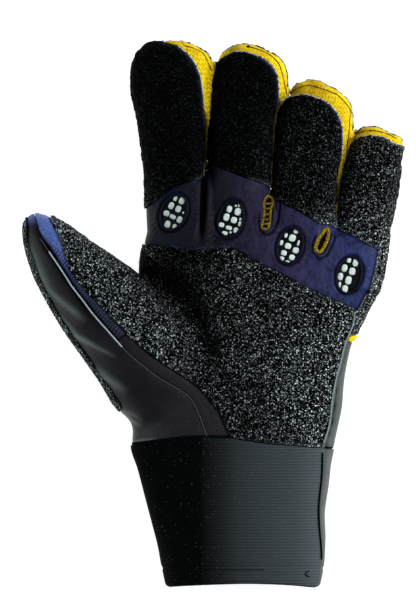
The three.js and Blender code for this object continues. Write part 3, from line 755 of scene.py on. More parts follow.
def blue_colour(look):
    """Blue leather with painted highlights towards the thumb's tip and painted shade between its pleats."""
    painted_highlight, pleat, deep = (0.20, 0.32, 0.75), (0.004, 0.004, 0.012), (0.0012, 0.0012, 0.0016)
    down = look.between("Y", -12, 48)
    tone = look.ramp(down, *BLUE_TONES)
    # Painted highlights, more of them towards the thumb's tip.
    shine = look.ramp(look.noise(1.4, 3), (0.5, 0.0), (0.72, 1.0))
    tone = look.mix(look.times(shine, look.times(down, 0.7)), tone, painted_highlight)
    # Painted shade in the pleats' valleys and along the edge beside the piping.
    tone = look.mix(look.stored("pleat"), tone, pleat)
    return look.mix(look.stored("dark"), tone, deep)


def black_colour(look):
    """Black leather with its sheens, its deep shadow and the blue haze at the thumb's tip."""
    tone = look.mix(look.noise(0.1, 3), (0.006, 0.0055, 0.008), (0.014, 0.013, 0.018))
    tone = look.mix(look.stored("sheen"), tone, (0.10, 0.125, 0.12))
    tone = look.mix(look.stored("dark"), tone, (0.001, 0.001, 0.001))
    return look.mix(look.stored("haze"), tone, TIP_BLUE)


def grey_colour(look):
    """Grey leather with painted shade that darkens it towards its cut edge."""
    tone = look.mix(look.noise(0.15, 4), (0.07, 0.085, 0.085), (0.13, 0.155, 0.155))
    near = look.times(look.stored("edge"), 0.2)
    return look.mix(look.ramp(near, (0.0, 0.9), (0.3, 0.5), (1.0, 0.0)), tone, (0.015, 0.02, 0.02))


# The knit's loops: their height along the finger, the width of a column and how steeply they slope.
KNIT_LOOP = 2.3
KNIT_COLUMN = 1.9
KNIT_SLOPE = 1.4


def knit_look():
    """Columns of small V-loops along the finger, orange in their hollows, soiled in places, with painted
    shade.
    """
    dull, bright = (0.82, 0.60, 0.002), (0.99, 0.80, 0.012)
    orange, brown, dark = (0.38, 0.15, 0.001), (0.34, 0.14, 0.006), (0.05, 0.035, 0.006)
    look = Look("yellow_knit", "yellow_knit")
    smooth = look.stored("smooth")
    column = look.math("FRACT", look.times(look.stored("around"), 1 / KNIT_COLUMN))
    across = look.math("ABSOLUTE", look.math("SUBTRACT", column, 0.5))
    along = look.times(look.stored("along"), 1 / KNIT_LOOP)
    phase = look.math("FRACT", look.plus(along, look.times(across, KNIT_SLOPE)))
    wave = look.math("ABSOLUTE", look.math("SUBTRACT", phase, 0.5))
    patch = look.ramp(look.noise(0.55), (0.34, 0.35), (0.52, 1.0))
    fleck = look.times(look.ramp(wave, (0.06, 1.0), (0.2, 0.0)), patch)
    fleck = look.times(fleck, look.flip(smooth))
    colour = look.mix(look.times(fleck, 0.9), look.mix(look.noise(0.3, 3), dull, bright), orange)
    dirt = look.ramp(look.noise(0.45, 4), (0.48, 0.0), (0.66, 1.0))
    dirt = look.times(dirt, look.plus(look.times(smooth, 0.3), 0.45))
    soiled = look.times(look.stored("soil"), look.ramp(look.noise(0.8, 3), (0.35, 0.1), (0.6, 1.0)))
    colour = look.mix(look.math("MAXIMUM", dirt, soiled), colour, brown)
    # Painted shade between the fingers and in a few spots, where it stands for soil as well.
    colour = look.mix(look.stored("shade"), colour, dark)
    return look.finish(colour, 0.85, look.bump(wave, 0.5, 0.6), Specular_IOR_Level=0.1)


def plain_look(name, slot, colour, roughness, shine=0.3, contrast=1.6):
    """A faintly mottled finish; contrast is how much brighter its bright patches are."""
    look = Look(name, slot)
    bright = tuple(min(1, contrast * c) for c in colour)
    tone = look.mix(look.ramp(look.noise(1.5, 3), (0.35, 0.0), (0.7, 1.0)), colour, bright)
    return look.finish(tone, roughness, look.bump(look.noise(3.0), 0.1, 0.5), Specular_IOR_Level=shine)


def speckled_look(name, slot, dull, bright, share):
    """Flecks on an edge; share is how much of it they leave dull."""
    look = Look(name, slot)
    fleck = look.ramp(look.cells(1.1, "Color"), (share, 0.0), (share + 0.25, 1.0))
    colour = look.mix(fleck, dull, bright)
    return look.finish(colour, 0.8, look.bump(look.cells(1.5), 0.3), Specular_IOR_Level=0.1)


def cord_look(name, worn_colour, bright_colour):
    """Yellow cord, worn in patches."""
    look = Look(name, "yellow_knit")
    worn = look.ramp(look.noise(1.5, 4), (0.38, 0.0), (0.62, 1.0))
    colour = look.mix(worn, worn_colour, bright_colour)
    return look.finish(colour, 0.85, look.bump(worn, 0.25), Specular_IOR_Level=0.05)


RIB_PITCH = 1.42


def elastic_look():
    """Black ribbed elastic, fuzzy, with a few pale specks of lint, and painted light across it and on its
    ribs.
    """
    tint, lint = (0.86, 1.06, 1.18), (0.09, 0.105, 0.11)
    look = Look("ribbed_elastic", "elastic")
    tone = look.ramp(look.between("X", -38, 54), *ELASTIC_LIGHT_TONES)
    wave = look.math("SINE", look.times(look.split("Y"), 2 * math.pi / RIB_PITCH))
    height = look.plus(look.times(wave, 0.5), look.noise(1.3, 4, look.stretched(0.5, 2.0, 1)))
    # Painted light and shade on the ribs: lighter on their crests.
    lit = look.ramp(height, (0.0, 0.76), (1.0, 1.1))
    lit = look.mix(1.0, lit, look.ramp(look.noise(2.4), (0.3, 0.8), (0.7, 1.15)), "MULTIPLY")
    tone = look.mix(1.0, look.mix(1.0, tone, lit, "MULTIPLY"), tint, "MULTIPLY")
    rare = look.ramp(look.chance(1.4), (0.93, 0.0), (0.99, 0.8))
    specks = look.times(rare, look.ramp(look.cells(1.4), (0.2, 1.0), (0.4, 0.0)))
    return look.finish(look.mix(specks, tone, lint), 0.8, look.bump(height, 0.14), Specular_IOR_Level=0.02)


LOOKS = {
    "grip": grip_look(),
    "navy": leather_look("navy_leather", "navy_leather", navy_colour, 0.42, 0.45, 0.09),
    "blue": leather_look("blue_leather", "blue_leather", blue_colour, 0.45),
    "black": leather_look("black_leather", "black_leather", black_colour, 0.36, shine=0.12),
    "grey": leather_look("grey_leather", "grey_leather", grey_colour, 0.55),
    "knit": knit_look(),
    "elastic": elastic_look(),
    "insert": plain_look("insert_ground", "dot_insert", (0.0008, 0.0012, 0.0016), 0.5, 0.05, 6.0),
    "dot": plain_look("insert_dots", "dot_insert", (0.50, 0.58, 0.56), 0.5),
    # A dimmer copy of the dots, with painted shade, for the index finger's window, where the light is
    # weakest.
    "shaded_dot": plain_look("insert_dots_painted_shade", "dot_insert", (0.36, 0.42, 0.38), 0.5),
    "lip": plain_look("rolled_lip", "navy_leather", (0.003, 0.003, 0.009), 0.5, 0.05, 3.0),
    # Piping on black and grey leather, coloured pale as a painted highlight, in brighter and dimmer copies.
    "piping": plain_look("piping_painted_highlight", "black_leather", (0.26, 0.32, 0.36), 0.45),
    "dim_piping": plain_look("piping_dim_painted_highlight", "black_leather", (0.035, 0.042, 0.045), 0.5, 0.1),
    "palm_piping": plain_look("piping_palm", "grey_leather", (0.16, 0.21, 0.22), 0.5, 0.2),
    "seam": speckled_look("seam_line", "yellow_knit", (0.04, 0.018, 0.004), (0.34, 0.16, 0.006), 0.35),
    "cord": cord_look("yellow_cord", (0.06, 0.04, 0.005), (0.48, 0.33, 0.02)),
    "dull_cord": cord_look("dull_cord", (0.028, 0.02, 0.006), (0.30, 0.21, 0.02)),
    # Near-black knit: painted shadow in the slots' openings, and the dark knot's own colour.
    "pit": plain_look("slot_painted_shadow_and_dark_knot", "yellow_knit", (0.002, 0.0014, 0.0006), 0.8, 0.02, 3.0),
    "thread": plain_look("dark_thread", "elastic", (0.0015, 0.002, 0.002), 0.8, 0.02),
    "frayed": speckled_look("frayed_edge", "grey_leather", (0.006, 0.007, 0.007), (0.45, 0.5, 0.5), 0.45),
    # Pale flecks on the pads' edges: fray, with a painted highlight on the edges that face the light.
    "pad_rim_fray_and_highlight": speckled_look("pad_rim_fray_and_highlight", "grip_rubber", (0.012, 0.015, 0.03), (0.45, 0.52, 0.72), 0.30),
    "joint": plain_look("cuff_joint", "elastic", (0.0015, 0.0018, 0.002), 0.8, 0.02),
    # Knit darkened with painted shade, for the bands deep between the fingers; gold is the lighter shade.
    "olive": plain_look("knit_in_painted_shade", "yellow_knit", (0.10, 0.075, 0.008), 0.85, 0.05, 3.0),
    "tab": plain_look("tab_knit", "yellow_knit", (0.84, 0.64, 0.004), 0.85, 0.05, 1.15),
    "gold": plain_look("knit_in_lighter_painted_shade", "yellow_knit", (0.62, 0.40, 0.002), 0.85, 0.05, 1.3),
}


# Relief of each kind of panel

WINDOW_SIZE = {"length": 19.2, "width": 13.6}
# Each window: its middle in the picture and how far it leans to the right, in degrees.
WINDOWS = {
    "index": (174, 212.5, 25), "middle": (231, 219, 15), "ring": (290, 246, 15), "little": (349, 275, 12),
}
# The rolled hems around the two slots.
SLOT_HEMS = [
    [(259, 210), (258.6, 222), (259.5, 230), (264.5, 234.8), (270.5, 234), (275.5, 228), (278.5, 219),
     (279.8, 208), (280, 194)],
    [(317, 231), (312.5, 243), (312, 252), (319, 259.5), (327, 255), (334, 241), (337, 229)],
]
# The deep fold between the index and the middle finger: its line in the picture, depth and width.
DEEP_FOLD = ([(206, 120), (206, 160), (205, 186), (203.5, 215), (200, 250)], -2.2, 1.5)
# The folds of the band and of the thumb's side: line, height and width.
BAND_FOLDS = [
    DEEP_FOLD,
    ([(199, 218), (194, 232), (188, 248)], 0.6, 1.0),
    ([(209.5, 170), (211.5, 195), (209, 215)], 0.25, 1.0),
]
THUMB_FOLDS = [
    ([(56, 296), (70, 310), (90, 326)], 0.9, 2.6),
    ([(66, 330), (92, 344), (118, 358)], 0.9, 2.4),
    ([(90, 366), (112, 380), (132, 396)], 0.8, 2.4),
    ([(118, 412), (130, 417), (142, 423)], -0.8, 1.5),
    ([(124, 424), (132, 428), (144, 432)], 0.5, 1.3),
]
# Where the smooth leather of the thumb's side shines: a line in the picture, its width and its strength.
SHEEN = [
    ([(25, 238), (29, 252), (35, 265), (43, 282), (54, 297)], 2.8, 0.95),
    ([(44, 286), (58, 298), (73, 310), (87, 323)], 1.4, 0.85),
    ([(56, 310), (67, 325), (77, 335), (99, 348)], 1.2, 0.75),
    ([(70, 333), (86, 340), (118, 358)], 0.9, 0.7),
    ([(96, 366), (112, 380), (129, 393)], 1.5, 0.75),
    ([(116, 408), (126, 418), (142, 427)], 0.8, 0.8),
    ([(122, 414), (128, 430), (132, 446)], 1.2, 0.7),
    ([(128, 444), (140, 441), (158, 439)], 0.8, 0.7),
]
# The piping along the thumb, its pale colour a painted highlight: it starts thin and dim, is bright halfway
# and dims again on the heel.
PIPING = {
    "start": [(40, 238), (44, 243.5), (48, 249.5), (53, 257)],
    "thumb": [(49, 251), (53, 257), (58, 264.3), (65.7, 276), (72.1, 286), (79.4, 295.6), (85.6, 303.7),
              (92.3, 312.7), (99.6, 321.2), (107, 329.5), (115, 338.6), (123, 347.5)],
    "heel": [(121, 345.5), (131, 355.5), (142, 365), (161, 379), (181, 391), (190, 398), (194, 404),
             (197.5, 411), (202, 422), (205, 431), (207, 436)],
}
# The inner edge of the pebbled strip along the thumb, and the outer edge of the palm's grip.
STRIP_EDGE = [
    (26, 216), (24.8, 224), (25.4, 234), (28, 248.7), (32.9, 261.7), (37, 273), (44, 288), (50.5, 300),
    (56, 309), (63, 321.5), (77, 342.5), (92, 363), (104, 380), (112, 391), (123, 411),
]
PALM_EDGE = [
    (355, 311), (352.5, 326), (345, 344), (341, 361), (336, 379), (332, 401), (330, 420), (327.5, 431),
    (323, 443.5),
]
# Below this row of the picture, and right of this place on the table, the palm's grip ends at that edge.
PALM_EDGE_ROW = 334.5
PALM_EDGE_FROM = 40
# The blue leather's edge along the black side of the thumb.
BLUE_EDGE = [
    (24, 222.5), (31, 219.8), (38, 224.5), (40.4, 232.7), (45.6, 239), (51, 246.5), (56, 253.5), (61, 262),
    (69, 274.5), (74, 283), (81.3, 293), (88.6, 302), (96, 312), (103.3, 320.5), (110, 329), (119, 339),
]
# The seam between the blue leather and the palm's grip.
BLUE_SEAM = [
    (50, 214), (53.6, 227), (59, 234.7), (61.8, 243), (64.9, 254.2), (67.2, 260.4), (69, 268.4),
    (72.1, 272.7), (78.2, 281.2), (83.7, 289.2), (89.8, 295.3), (97.2, 302.1), (104.5, 310),
    (113.1, 319.2), (119.9, 325.9), (126.6, 332.7),
]
# The seam round each finger's pad, from the outer side of its tip over the top and down between the fingers.
PAD_SEAMS = {
    "index": [(163, 41.3), (176.6, 45.1), (187.8, 54.1), (194.6, 63), (200.2, 76.5), (202.4, 91.1),
              (204, 109), (205.8, 129.2), (206.2, 150), (205, 175)],
    "middle": [(217.2, 61.8), (224.5, 56.3), (231.2, 52.6), (235.5, 51.4), (245.2, 52), (253.8, 54.5),
               (263.5, 58.7), (272, 66), (277, 74.6), (278.6, 86.8), (278.8, 97.8), (277, 107.5),
               (275.1, 116), (274, 124), (273, 145), (271.5, 175)],
    "ring": [(280, 103.7), (286.7, 97.8), (296.7, 95.3), (306.7, 94.5), (315, 97.8), (321.7, 99.5),
             (330, 105.3), (336.7, 112.8), (340.8, 122), (342.5, 132), (342.5, 145.3), (340.8, 162),
             (337, 180), (334, 205)],
    "little": [(344.2, 153.7), (350, 143.7), (358.3, 137.8), (368.3, 135.3), (378.3, 136.2),
               (386.7, 138.7), (393.3, 142.8), (401, 145), (406, 146)],
}
# The blue leather's pleats. They begin and widen between places along its edge, from narrow on, and the
# painted shade at its edge follows them by a share.
PLEATS = {
    "pitch": 1.6, "slant": 0.35, "uneven": (1.5, 3.0), "high": 0.3, "begin": (14, 19), "widen": (22, 30),
    "narrow": 1.6, "wider": 8, "edge": 0.35,
}
# How softly painted shade darkens the blue at its edge, by the place along the edge.
BLUE_SOFT = ([0, 12, 20], [3.2, 2.2, 0.7])
# The blue leather's own form: how far it dips at its cut edge, over which width, and its low ridge along the
# piping.
BLUE_RELIEF = {"dip": 0.4, "reach": 0.8, "ridge": (0.5, 2.5, 2.0)}


# The grip's relief: how far apart its grains, lumps and swellings lie, and how high each stands.
GRIP_RELIEF = {"grain": (1.15, 0.34), "lump": (2.2, 0.7), "swelling": (7.0, 0.25)}
# The seed of the lumps.
LUMP_SEED = 3
# The fold across the palm: its line in the picture, its depth and its width.
PALM_FOLD = ([(150, 278), (172, 300), (202, 334)], -2.2, 5.0)
# Near a cut edge the relief grows over this width from this share, and underneath only this share is left.
EDGE_CALM = {"width": 0.8, "share": 0.3}
UNDER_CALM = {"turn": -0.6, "share": 0.6}
# How softly the smooth leather past the palm's edge begins, and how far it dips.
PLAIN_SOFT = 0.4
PLAIN_DIP = 0.3


def pebbled(points, way, away, mesh):
    """The pebbled grip, and the smooth leather past the palm's outer edge."""
    edge = along_line(points, traced(PALM_EDGE))[0]
    below = (points[:, 1] < spot(0, PALM_EDGE_ROW)[1]) * (points[:, 0] > PALM_EDGE_FROM)
    plain = unit(edge / PLAIN_SOFT) * below
    store(mesh, "plain", plain)
    (grain, high), (lump, bulge), (swelling, rise) = GRIP_RELIEF.values()
    rough = high * grains(points, grain) + bulge * (lumps(points, lump, LUMP_SEED) - 0.5)
    rough = rough + rise * lumps(points, swelling) + fold(points, *PALM_FOLD)
    rough = rough * np.clip(away / EDGE_CALM["width"], EDGE_CALM["share"], 1)
    rough = rough * np.where(way[:, 2] > UNDER_CALM["turn"], 1.0, UNDER_CALM["share"])
    return np.where(plain > 0, -PLAIN_DIP * plain, rough)


def sheen_at(points):
    """How strongly the smooth leather shines at each point."""
    return sum(unit(fold(points, line, level, width)) for line, width, level in SHEEN)


# The black shadow beside the blue: its line in the picture, its strength and its width.
TIP_SHADOW = ([(34, 206), (36, 224), (43, 242), (54, 258), (68, 280), (84, 304), (110, 340)], 1.0, 2.2)
# The blue haze on the leather at the thumb's very tip: its middle in the picture and its reach.
TIP_HAZE = (33, 215, 3.2)


def haze_at(points):
    px, py, reach = TIP_HAZE
    return ridge(away_from(points, px, py), reach)


# The pebbled strip's relief: its grains' distance and height, the dip at its edge and its width, how far it
# lies below its level, and how softly the smooth leather past it begins.
STRIP_RELIEF = {"pitch": 1.3, "high": 0.45, "dip": 0.25, "reach": 0.6, "low": 0.5, "soft": 0.3}


def back_strip(points, way, away, mesh):
    """The pebbled strip along the thumb's far edge, with smooth leather past its inner edge."""
    facts = STRIP_RELIEF
    inside = unit(along_line(points, traced(STRIP_EDGE))[0] / facts["soft"])
    # Past the inner edge the leather colour shows only where the painted sheen falls.
    store(mesh, "plain", inside * unit(sheen_at(points)))
    store(mesh, "smooth", inside)
    store(mesh, "haze", haze_at(points) * inside)
    rough = facts["high"] * grains(points, facts["pitch"]) - facts["dip"] * np.exp(-away / facts["reach"])
    return rough * (1 - inside) - facts["low"]


# How far leather swells and how far apart its swellings lie.
LEATHER_SWELL = {"high": 0.15, "pitch": 9.0}


def swollen(points):
    return LEATHER_SWELL["high"] * lumps(points, LEATHER_SWELL["pitch"])


# The wrist's outer side stands out in full this far below the middle of the hand, and by more near a row of
# the picture.
WRIST_FULL = {"start": 10, "row": 408, "reach": 10.0, "more": 2.0}


def puffed(depth, reach, fuller=0.0):
    """Smooth leather that dips at its seams; fuller is how far the wrist's outer side stands out."""
    def relief(points, way, away, mesh):
        wrist = unit(way[:, 0]) * unit(-points[:, 1] / WRIST_FULL["start"])
        low = ridge(points[:, 1] - spot(0, WRIST_FULL["row"])[1], WRIST_FULL["reach"])
        stand = fuller * (1 + WRIST_FULL["more"] * low) * wrist
        return -depth * np.exp(-away / reach) + swollen(points) + stand
    return relief


def window_gap(points, window):
    """How far each point lies outside a window's oval, and its direction around it."""
    px, py, lean = window
    x, y = spot(px, py)
    turn = math.radians(lean)
    along = (points[:, 0] - x) * math.sin(turn) + (points[:, 1] - y) * math.cos(turn)
    across = (points[:, 0] - x) * math.cos(turn) - (points[:, 1] - y) * math.sin(turn)
    long, wide = WINDOW_SIZE["length"] / 2, WINDOW_SIZE["width"] / 2
    radius = np.hypot(along / long, across / wide)
    away = (radius - 1) * np.hypot(along, across) / np.maximum(radius, 0.1)
    return away, np.arctan2(across / wide, along / long)


# Around each window and slot, ridges and valleys: height, distance from the edge and width.
WINDOW_RIDGES = [(-0.7, 0.2, 0.45), (0.3, 1.5, 0.8)]
HEM_RIDGES = [(0.35, 1.0, 0.6), (-0.75, 0.0, 0.45)]
# The puckers across them: height, distance from the edge, reach, and how many there are, or how far apart.
WINDOW_PUCKERS = {"high": 0.14, "away": 2.8, "reach": 2.2, "count": 30}
HEM_PUCKERS = {"high": 0.12, "away": 1.8, "reach": 1.2, "pitch": 1.5}
# The painted shade in the groove round each: its strength, distance from the edge and width.
WINDOW_GROOVE = (0.8, 0.15, 0.4)
HEM_GROOVE = (0.85, 0.0, 0.5)
HEM_ENDS = 3.0
# The band dips at its edge by this depth over this width, and swells this high, this far apart.
BAND_RELIEF = {"dip": 0.5, "reach": 0.9, "high": 0.2, "pitch": 8.0}


def ridges(gap, rows):
    """The sum of ridges given as rows of height, distance and width."""
    return sum(high * ridge(gap - place, width) for high, place, width in rows)


def pucker(gap, wave, facts):
    return facts["high"] * np.cos(wave) * ridge(gap - facts["away"], facts["reach"])


def banded(points, way, away, mesh):
    """The navy band: its folds, the rolled rims of the windows and the hems of the slots, and their painted
    shade.
    """
    facts = BAND_RELIEF
    height = facts["high"] * lumps(points, facts["pitch"]) - facts["dip"] * np.exp(-away / facts["reach"])
    # Painted shade in the deep fold and the grooves round the windows and slots, for the navy material.
    groove = unit(-fold(points, *DEEP_FOLD))
    for line, rise, width in BAND_FOLDS:
        height = height + fold(points, line, rise, width)
    for window in WINDOWS.values():
        gap, angle = window_gap(points, window)
        wave = WINDOW_PUCKERS["count"] * angle
        height = height + ridges(gap, WINDOW_RIDGES) + pucker(gap, wave, WINDOW_PUCKERS)
        groove = np.maximum(groove, ridges(gap, [WINDOW_GROOVE]))
    for hem in SLOT_HEMS:
        gap, place, run = along_line(points, traced(hem))
        ends = unit(np.minimum(place, run - place) / HEM_ENDS)
        wave = place * 2 * math.pi / HEM_PUCKERS["pitch"]
        height = height + ends * (ridges(np.abs(gap), HEM_RIDGES) + pucker(np.abs(gap), wave, HEM_PUCKERS))
        groove = np.maximum(groove, ends * ridges(gap, [HEM_GROOVE]))
    store(mesh, "dark", groove)
    return height * unit(2 * way[:, 2])


# How far the thumb's side dips at its edge, over which width, and how steeply its folds begin as it turns
# upwards.
SIDE_RELIEF = {"dip": 0.5, "reach": 1.2, "turn": 1.5}


def folded(points, way, away, mesh):
    """The black leather of the thumb's side, with its folds, sheens and shadow."""
    height = swollen(points) - SIDE_RELIEF["dip"] * np.exp(-away / SIDE_RELIEF["reach"])
    for line, rise, width in THUMB_FOLDS:
        height = height + fold(points, line, rise, width) * unit(way[:, 2] * SIDE_RELIEF["turn"])
    store(mesh, "sheen", sheen_at(points))
    store(mesh, "haze", haze_at(points))
    store(mesh, "dark", unit(fold(points, *TIP_SHADOW)))
    return height


def pleated(points, way, away, mesh):
    """The blue thumb tip: smooth at its end, gathered in small pleats along the piping."""
    gap, place = along_line(points, traced(BLUE_EDGE))[:2]
    turn, pitch = PLEATS["uneven"]
    slanted = place + PLEATS["slant"] * gap
    wave = np.cos(slanted * 2 * math.pi / PLEATS["pitch"] + turn * lumps(points, pitch))
    start = rising(place, *PLEATS["begin"])
    wide = PLEATS["narrow"] + PLEATS["wider"] * rising(place, *PLEATS["widen"])
    near = start * np.sqrt(unit(1 - np.abs(gap) / wide))
    # Painted shade in the pleats' valleys, and along the blue's edge beside the piping.
    store(mesh, "pleat", unit(-wave) * near)
    soft = np.interp(place, *BLUE_SOFT)
    store(mesh, "dark", unit(0.5 - (gap - PLEATS["edge"] * wave * start) / soft))
    dip = BLUE_RELIEF["dip"] * np.exp(-away / BLUE_RELIEF["reach"])
    return PLEATS["high"] * wave * near + ridges(gap, [BLUE_RELIEF["ridge"]]) - dip


# The dark seams in the yellow knit of the fingertips; past them the knit is smooth.
KNIT_SEAMS = {
    "index": [(183, 45), (192, 47.5), (203, 53), (208, 62.5), (212, 70.5)],
    "middle": [(246, 46), (258, 49), (269, 54), (276, 60), (280, 66), (283, 77), (287, 94)],
    "ring": [(290, 94), (295, 89), (303, 86), (310, 85), (317, 87), (326, 90), (336, 94), (343, 100),
             (351, 110.5), (350, 117.5), (349, 134), (347, 148)],
    "little": [(358, 133), (370, 130), (386, 133), (398, 139)],
}
NEIGHBOUR = {"index": "middle", "middle": "ring", "ring": "little"}
# Between the fingers painted shade darkens the knit from one picture row to another, and this much at most.
KNIT_SHADE = {"index": (118, 150), "middle": (92, 126), "ring": (150, 186)}
KNIT_SHADE_MOST = 0.9
# Soiled and shaded places on the fingertips: the middle in the picture, the reach, how dark it is painted, as
# shade and soil together, and how brown its soil is.
KNIT_SOIL_AND_SHADE = {
    "index": [(170, 41, 4.0, 0.15, 0.3)],
    "middle": [(232, 49, 4.0, 0.5, 0.5), (262, 50, 5.0, 0.0, 0.5)],
    "ring": [(295, 90, 4.0, 0.7, 0.7), (316, 90, 7.0, 0.1, 0.9), (340, 112, 5.0, 0.0, 0.5)],
    "little": [(362, 130, 4.5, 0.1, 0.7)],
}


# The knit's relief: the millimetres that a radian round the finger counts for, the dip at its edge and its
# width, its lumps' height and distance, the groove at its seam, and how softly the smooth knit begins.
KNIT_RELIEF = {
    "round": 16, "dip": 0.4, "reach": 1.0, "lump": 0.2, "pitch": 3.0, "groove": (-0.5, 0.0, 0.5), "soft": 0.5,
}
# Towards the next finger the knit swells to fill the gap: what stays clear, the most that it swells, and from
# how wide a gap to how narrow a one it does.
KNIT_FILL = {"clear": 0.2, "most": 2.2, "gap": (3.4, 2.4)}


def knitted(finger):
    """The knit of one finger."""
    form = forms[finger]

    def relief(points, way, away, mesh):
        facts = KNIT_RELIEF
        across, at = form.along(points)
        left, right, low, high = (np.interp(at, form.at, row) for row in form.rows)
        angle = np.arctan2(points[:, 2] - (low + high) / 2, across - (left + right) / 2)
        gap = along_line(points, traced(KNIT_SEAMS[finger]))[0]
        shade, soil = np.zeros(len(points)), np.zeros(len(points))
        if finger in KNIT_SHADE:
            start, end = (spot(0, row)[1] for row in KNIT_SHADE[finger])
            shade = KNIT_SHADE_MOST * rising(points[:, 1], start, end)
        for px, py, reach, dark, brown in KNIT_SOIL_AND_SHADE[finger]:
            near = ridge(away_from(points, px, py), reach)
            shade, soil = np.maximum(shade, dark * near), np.maximum(soil, brown * near)
        store(mesh, "along", at)
        store(mesh, "around", angle * facts["round"])
        store(mesh, "smooth", unit(gap / facts["soft"]))
        store(mesh, "shade", shade)
        store(mesh, "soil", soil)
        height = facts["lump"] * lumps(points, facts["pitch"]) - facts["dip"] * np.exp(-away / facts["reach"])
        height = height + ridges(gap, [facts["groove"]])
        if finger in NEIGHBOUR:
            space = forms[NEIGHBOUR[finger]].outside(points)
            swell = np.clip(space - KNIT_FILL["clear"], 0, KNIT_FILL["most"])
            height = height + swell * rising(space, *KNIT_FILL["gap"])
        return height
    return relief


# The cuff's waist on its right side: its row in the picture, its reach and its depth.
CUFF_WAIST = {"row": 514, "reach": 9.0, "depth": 1.2}
# The cuff's dip at its edge and its width, its waves' height, distance and share of that sideways, and the
# groove above its hem with its row in the picture.
CUFF_RELIEF = {"dip": 0.5, "reach": 1.0, "wave": 0.5, "pitch": 11.0, "sideways": 0.5}
HEM_GROOVE_ROW = 568
HEM_GROOVE_FORM = (-0.5, 0.0, 0.7)
# How far the cuff's hem is drawn up between its corners, the reach of that, and the corners in the picture.
HEM_ARCH = {"rise": 2.4, "reach": 22.0, "left": 160, "right": 322, "row": 588}
# The rows of the picture between which the yellow tab flares, and how far.
TAB_ROWS = (341.5, 335)
TAB_FLARE = 1.7


def hem_arched(points):
    """Draws the cuff's hem up in the middle."""
    left, right = (spot(HEM_ARCH[side], 0)[0] for side in ("left", "right"))
    across = rising(points[:, 0], left, right)
    near = unit(1 - (points[:, 1] - spot(0, HEM_ARCH["row"])[1]) / HEM_ARCH["reach"])
    lifted = points.copy()
    lifted[:, 1] += HEM_ARCH["rise"] * 4 * across * (1 - across) * near
    return lifted


def tabbed(points, way, away, mesh):
    """The yellow tab, which flares outwards at its upper edge."""
    return TAB_FLARE * np.sqrt(rising(points[:, 1], *(spot(0, row)[1] for row in TAB_ROWS)))


def cuffed(points, way, away, mesh):
    """The elastic cuff: soft waves, a waist on its right side, a groove above its hem and rounded ends."""
    facts = CUFF_RELIEF
    waves = facts["wave"] * lumps(points * np.array([facts["sideways"], 1.0, 1.0]), facts["pitch"])
    waist = CUFF_WAIST["depth"] * ridge(points[:, 1] - spot(0, CUFF_WAIST["row"])[1], CUFF_WAIST["reach"])
    height = waves - facts["dip"] * np.exp(-away / facts["reach"]) - waist * unit(way[:, 0])
    return height + ridges(points[:, 1] - spot(0, HEM_GROOVE_ROW)[1], [HEM_GROOVE_FORM])


# The height and distance of the lumps on the small panels, and the levels of the inserts and of the slots'
# knit.
FLAT_LUMPS = (0.15, 2.0)
INSERT_LEVEL = -0.9
SLOT_LEVEL = -0.6


def flat(points, way, away, mesh):
    high, pitch = FLAT_LUMPS
    return high * lumps(points, pitch)


# Each panel's look, the size of its faces, its level and relief, and for some the seam that it is cut along,
# the side of it that the panel keeps to, and what moves it at the end.
PANELS = {}
for finger in FINGERS:
    PANELS["grip_" + finger] = ("grip", 0.5, GRIP_LEVEL, pebbled, PAD_SEAMS[finger], WITHIN)
    PANELS["gusset_" + finger] = ("knit", 0.5, 0.0, knitted(finger), PAD_SEAMS[finger], OUTSIDE)
    PANELS["window_insert_" + finger] = ("insert", 0.4, INSERT_LEVEL, flat)
PANELS |= {
    "palm_grip": ("grip", 0.6, GRIP_LEVEL, pebbled, BLUE_SEAM, OUTSIDE),
    "thumb_back_grip": ("grip", 0.5, GRIP_LEVEL, back_strip),
    "finger_band": ("navy", 0.55, 0.0, banded),
    "heel_strip": ("black", 0.6, 0.0, puffed(0.5, 1.2)),
    "thumb_tip": ("blue", 0.35, 0.0, pleated, BLUE_SEAM, WITHIN),
    "thumb_side": ("black", 0.7, 0.0, folded),
    "side_tab": ("tab", 0.4, 0.0, tabbed),
    "back_panel": ("grey", 1.3, 0.0, puffed(0.5, 1.5, 0.5)),
    "cuff_elastic": ("elastic", 1.1, CUFF_LEVEL, cuffed, None, WITHIN, hem_arched),
    "cuff_back": ("grey", 1.1, CUFF_LEVEL, cuffed, None, WITHIN, hem_arched),
    # The knit at the foot of each slot, painted black as shadow.
    "gusset_end_middle": ("pit", 0.4, SLOT_LEVEL, flat),
    "gusset_end_ring": ("pit", 0.4, SLOT_LEVEL, flat),
}
made = {node: wear(dressed(node, *facts), LOOKS[look]) for node, (look, *facts) in PANELS.items()}


# Small parts laid on the surface

CURVE_STEPS = 12


def curve_through(points, step, closed=False):
    """Evenly spaced points along a smooth curve through the given ones."""
    points = np.asarray(points, dtype=float)
    if closed:
        padded = np.vstack([points[-1:], points, points[:2]])
    else:
        padded = np.vstack([2 * points[0] - points[1], points, 2 * points[-1] - points[-2]])
    t = np.linspace(0, 1, CURVE_STEPS, endpoint=False)[:, None]
    fine = []
    for a, b, c, d in zip(padded[:-3], padded[1:-2], padded[2:-1], padded[3:]):
        bend, twist = 2 * a - 5 * b + 4 * c - d, 3 * b - a - 3 * c + d
        fine.append(b + 0.5 * ((c - a) * t + bend * t**2 + twist * t**3))
    fine = np.vstack([*fine, padded[-2:-1]])
    run = np.concatenate([[0], np.cumsum(np.linalg.norm(np.diff(fine, axis=0), axis=1))])
    at = np.linspace(0, run[-1], max(3, int(round(run[-1] / step))) + 1)
    even = np.stack([np.interp(at, run, column) for column in fine.T], axis=1)
    return even[:-1] if closed else even


# What is higher than the whole glove, and the steps in which its smooth form is looked for from there down.
ABOVE = 60.0
SKIN_STEP = 0.5


